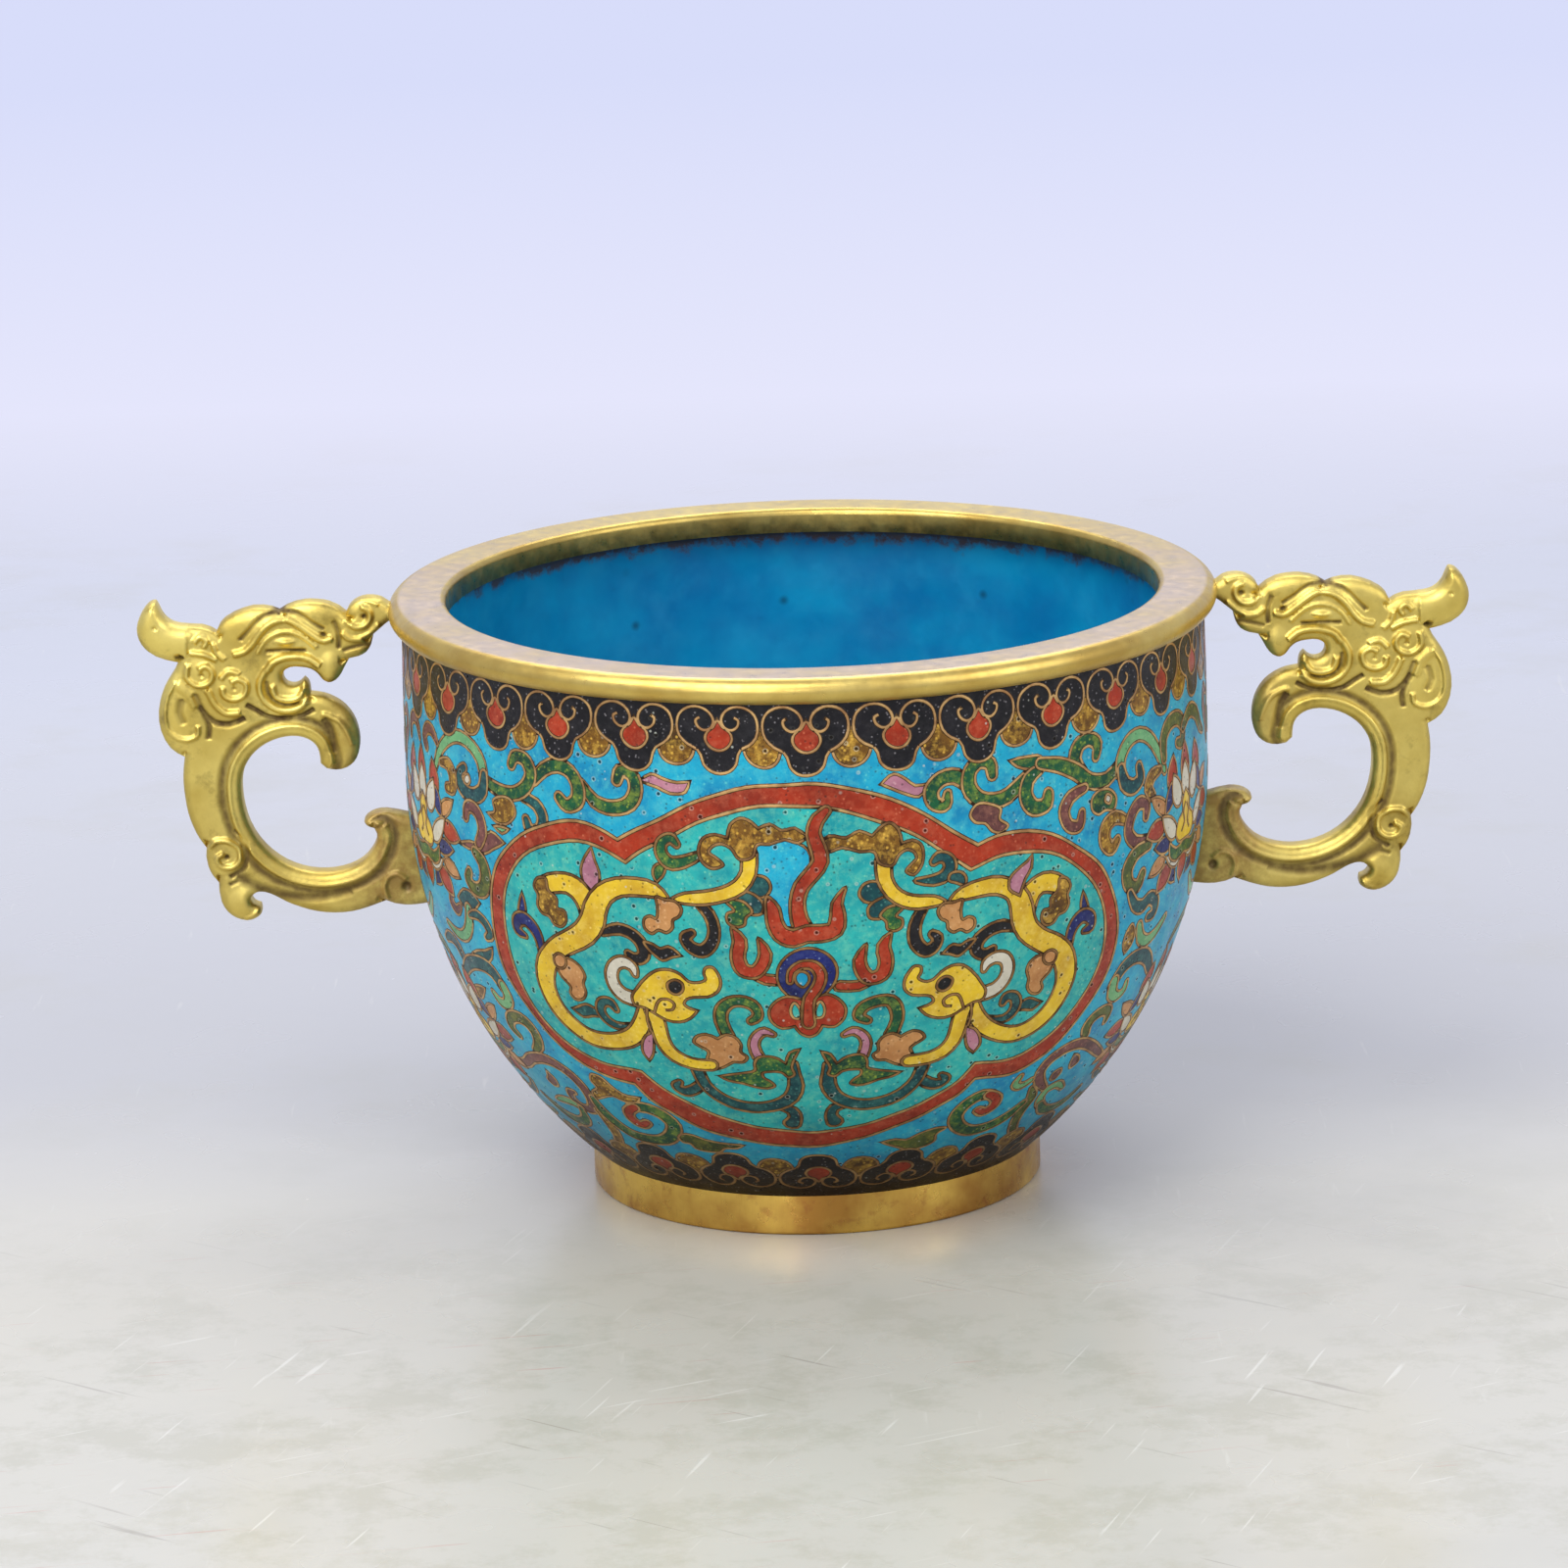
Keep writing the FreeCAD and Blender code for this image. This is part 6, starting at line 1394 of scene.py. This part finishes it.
def lining():
    """Blue enamel inside the bowl, with cloudy patches, dark spots, and a ragged brown band under
    the rim: painted shade under its overhang mixed with grime.
    """
    f = Finish("lining_enamel", (8, 146, 190))
    f.lay(f.ramp(f.noise(14, 4), 0.36, 0.64), (4, 116, 168))
    f.lay(f.times(f.ramp(f.noise(5, 3), 0.54, 0.78), 0.22), (50, 170, 208))
    f.lay(f.times(f.ramp(f.noise(7, 3, 0.6), 0.66, 0.80), 0.5), (8, 60, 84))
    away, chance = f.cells(6.5)
    f.lay(f.times(f.ramp(away, 0.03, 0.13, 1, 0), f.ramp(chance, 0.58, 0.62), 0.6), (8, 44, 64))
    # Ragged brown band under the rim: painted shade under its overhang, mixed with grime
    ragged = f.math("ADD", f.axis("Z"), f.times(f.noise(3.6, 5, 0.75), 7.0 * MM))
    f.lay(f.times(f.fade(ragged, WALL_TOP + 1.2, WALL_TOP + 2.6), 0.9), (84, 52, 22))
    f.set("Base Color", f.colour)
    f.set("Roughness", f.ramp(f.noise(6, 3), 0.3, 0.7, 0.28, 0.45))
    f.set("Normal", f.bump(f.noise(3.0, 3), 0.06))
    return f.material


def add_rim_wear_and_highlight(f, worn):
    """Flat top of the rim: worn paler at the front, and brighter at the back where a highlight is
    painted on.
    """
    normal = f.node("ShaderNodeNewGeometry").outputs["Normal"]
    flat = f.ramp(f.axis("Z", normal), 0.93, 0.995)
    front = f.fade(f.axis("Y"), 48, 5)
    f.lay(f.times(flat, front, f.ramp(f.noise(9, 4, 0.6), 0.30, 0.62, 0.5, 0.95)), worn)
    # Painted highlight: the flat top made brighter towards the back
    f.lay(f.times(flat, f.fade(f.axis("Y"), 15, 45), 0.55), (250, 228, 150))


def add_tan_and_shade(f):
    """Browner handle beside the cup and low down: painted shade where it meets the cup and on its
    lower part, with patchy tarnish. Returns where it lies beside the cup.
    """
    side = f.fade(f.math("ABSOLUTE", f.axis("X"), 0), 65.0, 57.5)
    side = f.times(side, f.fade(f.axis("Z"), 73, 67))
    low = f.times(f.fade(f.axis("Z"), 62, 46), 0.28)
    patches = f.ramp(f.noise(3.4, 5, 0.7), 0.36, 0.58, 0.3, 0.85)
    # Painted shade beside the cup and low on the handle, broken into tarnish patches
    f.lay(f.times(f.math("MAXIMUM", side, low), patches), (140, 104, 40))
    return side


def add_mouth_grime_and_shade(f):
    """Grime on the inner wall of the rim, with painted shade that deepens it towards the lining.
    """
    away = f.node("ShaderNodeVectorMath", operation="LENGTH")
    f.link(f.stretched(1, 1, 0), away.inputs[0])
    inside = f.fade(away.outputs["Value"], MOUTH_RADIUS + 0.7, MOUTH_RADIUS + 0.3)
    # Painted shade: darker lower down the inner wall, deep in the mouth
    depth = f.fade(f.axis("Z"), CUP_HEIGHT - 0.3, WALL_TOP + 0.4, 0.15, 0.75)
    depth = f.times(depth, f.ramp(f.noise(4, 5, 0.7), 0.3, 0.6, 0.6, 1.1))
    f.lay(f.times(inside, depth), (70, 54, 28))


def gilt(name, bright, dull, dark, worn=None, collar=False, tan_and_shade=False, stains=0.3,
         rough=(0.24, 0.44), grain=(1, 0.35, 0.55)):
    """Fire-gilt bronze: warm patches, brown grime in the hollows, fine scratches."""
    f = Finish(name, bright)
    f.lay(f.ramp(f.noise(9, 4), 0.36, 0.66), dull)
    f.lay(f.times(f.ramp(f.noise(3.0, 5, 0.65), 0.55, 0.72), stains), dark)
    scratches = f.noise(0.22, 3, 0.6, f.stretched(*grain))
    f.lay(f.times(f.ramp(scratches, 0.5, 0.75), 0.2), dull)
    if worn:
        add_rim_wear_and_highlight(f, worn)
    # Beside the cup the painted shade also takes some of the metal's shine away
    shade_mask = f.times(add_tan_and_shade(f), 0.75) if tan_and_shade else 0.0
    if collar:
        add_mouth_grime_and_shade(f)
    hollow = f.times(f.ramp(f.relief(), 0.05, -0.33),
                     f.ramp(f.noise(1.4, 3), 0.25, 0.6, 0.65, 1.0))
    f.lay(hollow, dark)
    f.set("Base Color", f.colour)
    f.set("Metallic", f.math("SUBTRACT", 1.0, f.math("MAXIMUM", f.times(hollow, 0.5), shade_mask)))
    shine = f.ramp(f.noise(1.8, 4, 0.6), 0.3, 0.75, *rough)
    f.set("Roughness", f.math("ADD", shine, f.times(hollow, 0.2)))
    f.set("Normal", f.bump(f.noise(1.6, 3), 0.02, f.bump(scratches, 0.008)))
    return f.material


def wire_metal(name, bright, dull):
    """Gilt wire tops with dark grime along both edges, and painted shade low on the cup."""
    f = Finish(name, bright)
    f.lay(f.ramp(f.noise(2.2, 3), 0.35, 0.65), dull)
    edge = f.times(f.ramp(f.relief(), 0.62, 0.96, 1, 0),
                   f.ramp(f.noise(1.1, 2), 0.2, 0.6, 0.75, 1.0))
    # Dark grime along the edges, and painted shade on the wires low on the cup
    f.lay(f.math("MAXIMUM", edge, f.fade(f.axis("Z"), *SHADE_HEIGHTS, 0, 0.7)), WIRE_GRIME_AND_SHADE)
    f.set("Base Color", f.colour)
    f.set("Metallic", 0.85)
    f.set("Roughness", f.ramp(f.noise(0.9, 2), 0.3, 0.7, 0.34, 0.52))
    f.set("Normal", f.bump(f.noise(0.4, 2), 0.012))
    return f.material


def plain_copper():
    f = Finish("raised_copper", (170, 96, 62))
    f.lay(f.ramp(f.noise(3, 3), 0.3, 0.7), (112, 60, 40))
    f.set("Base Color", f.colour)
    f.set("Metallic", 1.0)
    f.set("Roughness", f.ramp(f.noise(1.5, 3), 0.3, 0.7, 0.35, 0.55))
    return f.material


def make_materials():
    made = {colour: enamel(colour + "_cell", *row[:-1]) for colour, row in PALETTE.items()}
    made["wire"] = wire_metal("gilt_wire", (212, 172, 112), (160, 118, 76))
    made["dull_wire"] = wire_metal("dull_wire", (172, 132, 82), (112, 78, 48))
    made["lining"] = lining()
    made["base"] = enamel("base_cell", (26, 120, 160), (18, 92, 132), (80, 160, 180), 0.1, 0.3)
    made["copper"] = plain_copper()
    made["gilt"] = gilt("gilt_handle", (228, 207, 114), (201, 176, 86), (88, 66, 28),
                        tan_and_shade=True, stains=0.45, rough=(0.36, 0.54))
    made["rim"] = gilt("gilt_rim", (222, 196, 108), (194, 162, 80), (120, 94, 44),
                       worn=(222, 202, 176), collar=True, stains=0.12, grain=(1, 1, 0.1))
    made["foot"] = gilt("gilt_foot", (228, 192, 92), (178, 132, 60), (150, 84, 52),
                        stains=0.6, rough=(0.20, 0.44), grain=(1, 1, 0.1))
    return made


def dress_cad_nodes():
    for node, finish in (("copper_body", "copper"), ("inner_enamel", "lining"),
                         ("base_enamel", "base")):
        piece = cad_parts[node]
        piece.data.materials.clear()
        piece.data.materials.append(materials[finish])


# Stage

CAMERA_AWAY = 0.9
CAMERA_HEIGHT = 0.283975
CAMERA_PITCH = 0.25057
CAMERA_YAW = -0.00346
CAMERA_ROLL = 0.02793
LENS_MM = 159.456


def build_camera():
    camera = bpy.data.objects.new("camera", bpy.data.cameras.new("camera"))
    camera.data.lens = LENS_MM
    camera.data.sensor_width = 36
    camera.data.clip_start = 0.05
    forward = Vector((math.sin(CAMERA_YAW) * math.cos(CAMERA_PITCH),
                      math.cos(CAMERA_YAW) * math.cos(CAMERA_PITCH), -math.sin(CAMERA_PITCH)))
    right = Vector((math.cos(CAMERA_YAW), -math.sin(CAMERA_YAW), 0))
    down = forward.cross(right)
    c, s = math.cos(CAMERA_ROLL), math.sin(CAMERA_ROLL)
    across, up = c * right + s * down, s * right - c * down
    turn = Matrix((across, up, -forward)).transposed().to_4x4()
    camera.matrix_world = Matrix.Translation((0, -CAMERA_AWAY, CAMERA_HEIGHT)) @ turn
    bpy.context.scene.collection.objects.link(camera)
    bpy.context.scene.camera = camera


# Name, place and size in metres, watts
LAMPS = (
    ("key", (-0.45, -0.60, 0.95), (0.9, 0.7), 10.5),
    ("fill", (0.80, -0.50, 0.60), (0.7, 0.7), 3.5),
    ("front", (-0.30, -1.00, 0.42), (0.45, 0.25), 2),
    ("back", (0.0, 0.60, 0.95), (1.0, 0.5), 5),
)
LAMP_AIM = Vector((0, 0, 0.04))


def build_lamps():
    for name, place, size, watts in LAMPS:
        lamp = bpy.data.lights.new(name, "AREA")
        lamp.shape = "RECTANGLE"
        lamp.size, lamp.size_y = size
        lamp.energy = watts
        holder = bpy.data.objects.new(name, lamp)
        holder.location = place
        holder.rotation_euler = (LAMP_AIM - Vector(place)).to_track_quat("-Z", "Y").to_euler()
        bpy.context.scene.collection.objects.link(holder)


TABLE_CORNERS = ((-6, -3, 0), (6, -3, 0), (6, 12, 0), (-6, 12, 0))
# Fine scratches of the table top: direction, width in millimetres, colour
SCRATCHES = ((63, 1.5, (232, 232, 228)), (-52, 1.9, (128, 120, 110)),
             (81, 1.3, (190, 128, 118)), (20, 1.7, (236, 236, 232)))


def build_floor():
    """Pale stone table, with painted lamp falloff from front to back and a painted shadow band
    just behind the cup. Beyond it the floor glows softly like a lit backdrop.
    """
    mesh = bpy.data.meshes.new("table")
    mesh.from_pydata(TABLE_CORNERS, [], [(0, 1, 2, 3)])
    floor = bpy.data.objects.new("table", mesh)
    bpy.context.scene.collection.objects.link(floor)
    f = Finish("table_top", (197, 194, 184))
    away = f.axis("Y")
    # Painted lamp falloff: darker and warmer at the front, bluer at the back
    f.lay(f.ramp(away, -0.05, 0.30), (194, 197, 209))
    f.lay(f.ramp(away, -0.05, -0.30), (189, 189, 184))
    # Painted shadow: a soft darker band across the table just behind the cup
    f.lay(f.times(f.ramp(away, -0.01, 0.05), f.ramp(away, 0.26, 0.12), 0.5), (176, 178, 188))
    f.lay(f.times(f.ramp(f.noise(60, 6, 0.65), 0.52, 0.72), 0.5), (182, 181, 174))
    fine = f.ramp(f.noise(2.2, 3, 0.6, f.stretched(1, 0.08, 1)), 0.68, 0.76)
    f.lay(f.times(fine, 0.25), (222, 222, 216))
    near = f.ramp(away, 0.0, -0.08)
    f.lay(f.times(near, 0.7, f.ramp(f.noise(16, 8, 0.75), 0.48, 0.60)), (181, 179, 166))
    for degrees, width, tint in SCRATCHES:
        lines = f.noise(width * 0.7, 2, 0.5, f.stretched(1, 0.045, 1, degrees))
        f.lay(f.times(near, 0.36, f.ramp(lines, 0.69, 0.745)), tint)
    f.set("Base Color", f.colour)
    f.set("Roughness", f.ramp(f.noise(20, 3), 0.3, 0.7, 0.20, 0.30))
    f.set("Specular IOR Level", 0.5)
    glow = f.node("ShaderNodeEmission")
    f.link(f.mix(f.ramp(away, 0.50, 1.0), rgb(230, 231, 252), rgb(216, 221, 250)), glow.inputs[0])
    mixer = f.node("ShaderNodeMixShader")
    for socket, value in zip(mixer.inputs, (f.ramp(away, 0.36, 0.54), f.shader.outputs[0],
                                            glow.outputs[0])):
        f.link(value, socket)
    f.link(mixer.outputs[0], f.tree.nodes["Material Output"].inputs["Surface"])
    mesh.materials.append(f.material)


def build_world():
    world = bpy.data.worlds.new("studio")
    world.use_nodes = True
    bpy.context.scene.world = world
    nodes, links = world.node_tree.nodes, world.node_tree.links
    nodes.clear()
    seen = nodes.new("ShaderNodeBackground")
    seen.inputs["Color"].default_value = rgb(218, 222, 248)
    seen.inputs["Strength"].default_value = 1.0
    lit = nodes.new("ShaderNodeBackground")
    lit.inputs["Color"].default_value = rgb(234, 236, 244)
    lit.inputs["Strength"].default_value = 0.5
    path = nodes.new("ShaderNodeLightPath")
    plain = nodes.new("ShaderNodeMath")
    plain.operation = "MAXIMUM"
    links.new(path.outputs["Is Camera Ray"], plain.inputs[0])
    links.new(path.outputs["Is Glossy Ray"], plain.inputs[1])
    mixer = nodes.new("ShaderNodeMixShader")
    out = nodes.new("ShaderNodeOutputWorld")
    links.new(plain.outputs[0], mixer.inputs[0])
    links.new(lit.outputs[0], mixer.inputs[1])
    links.new(seen.outputs[0], mixer.inputs[2])
    links.new(mixer.outputs[0], out.inputs[0])


materials = make_materials()
build_pattern()
build_rings()
build_handles()
dress_cad_nodes()
build_camera()
build_floor()
build_world()
build_lamps()
bpy.context.scene.view_settings.view_transform = "Standard"
bpy.context.view_layer.update()
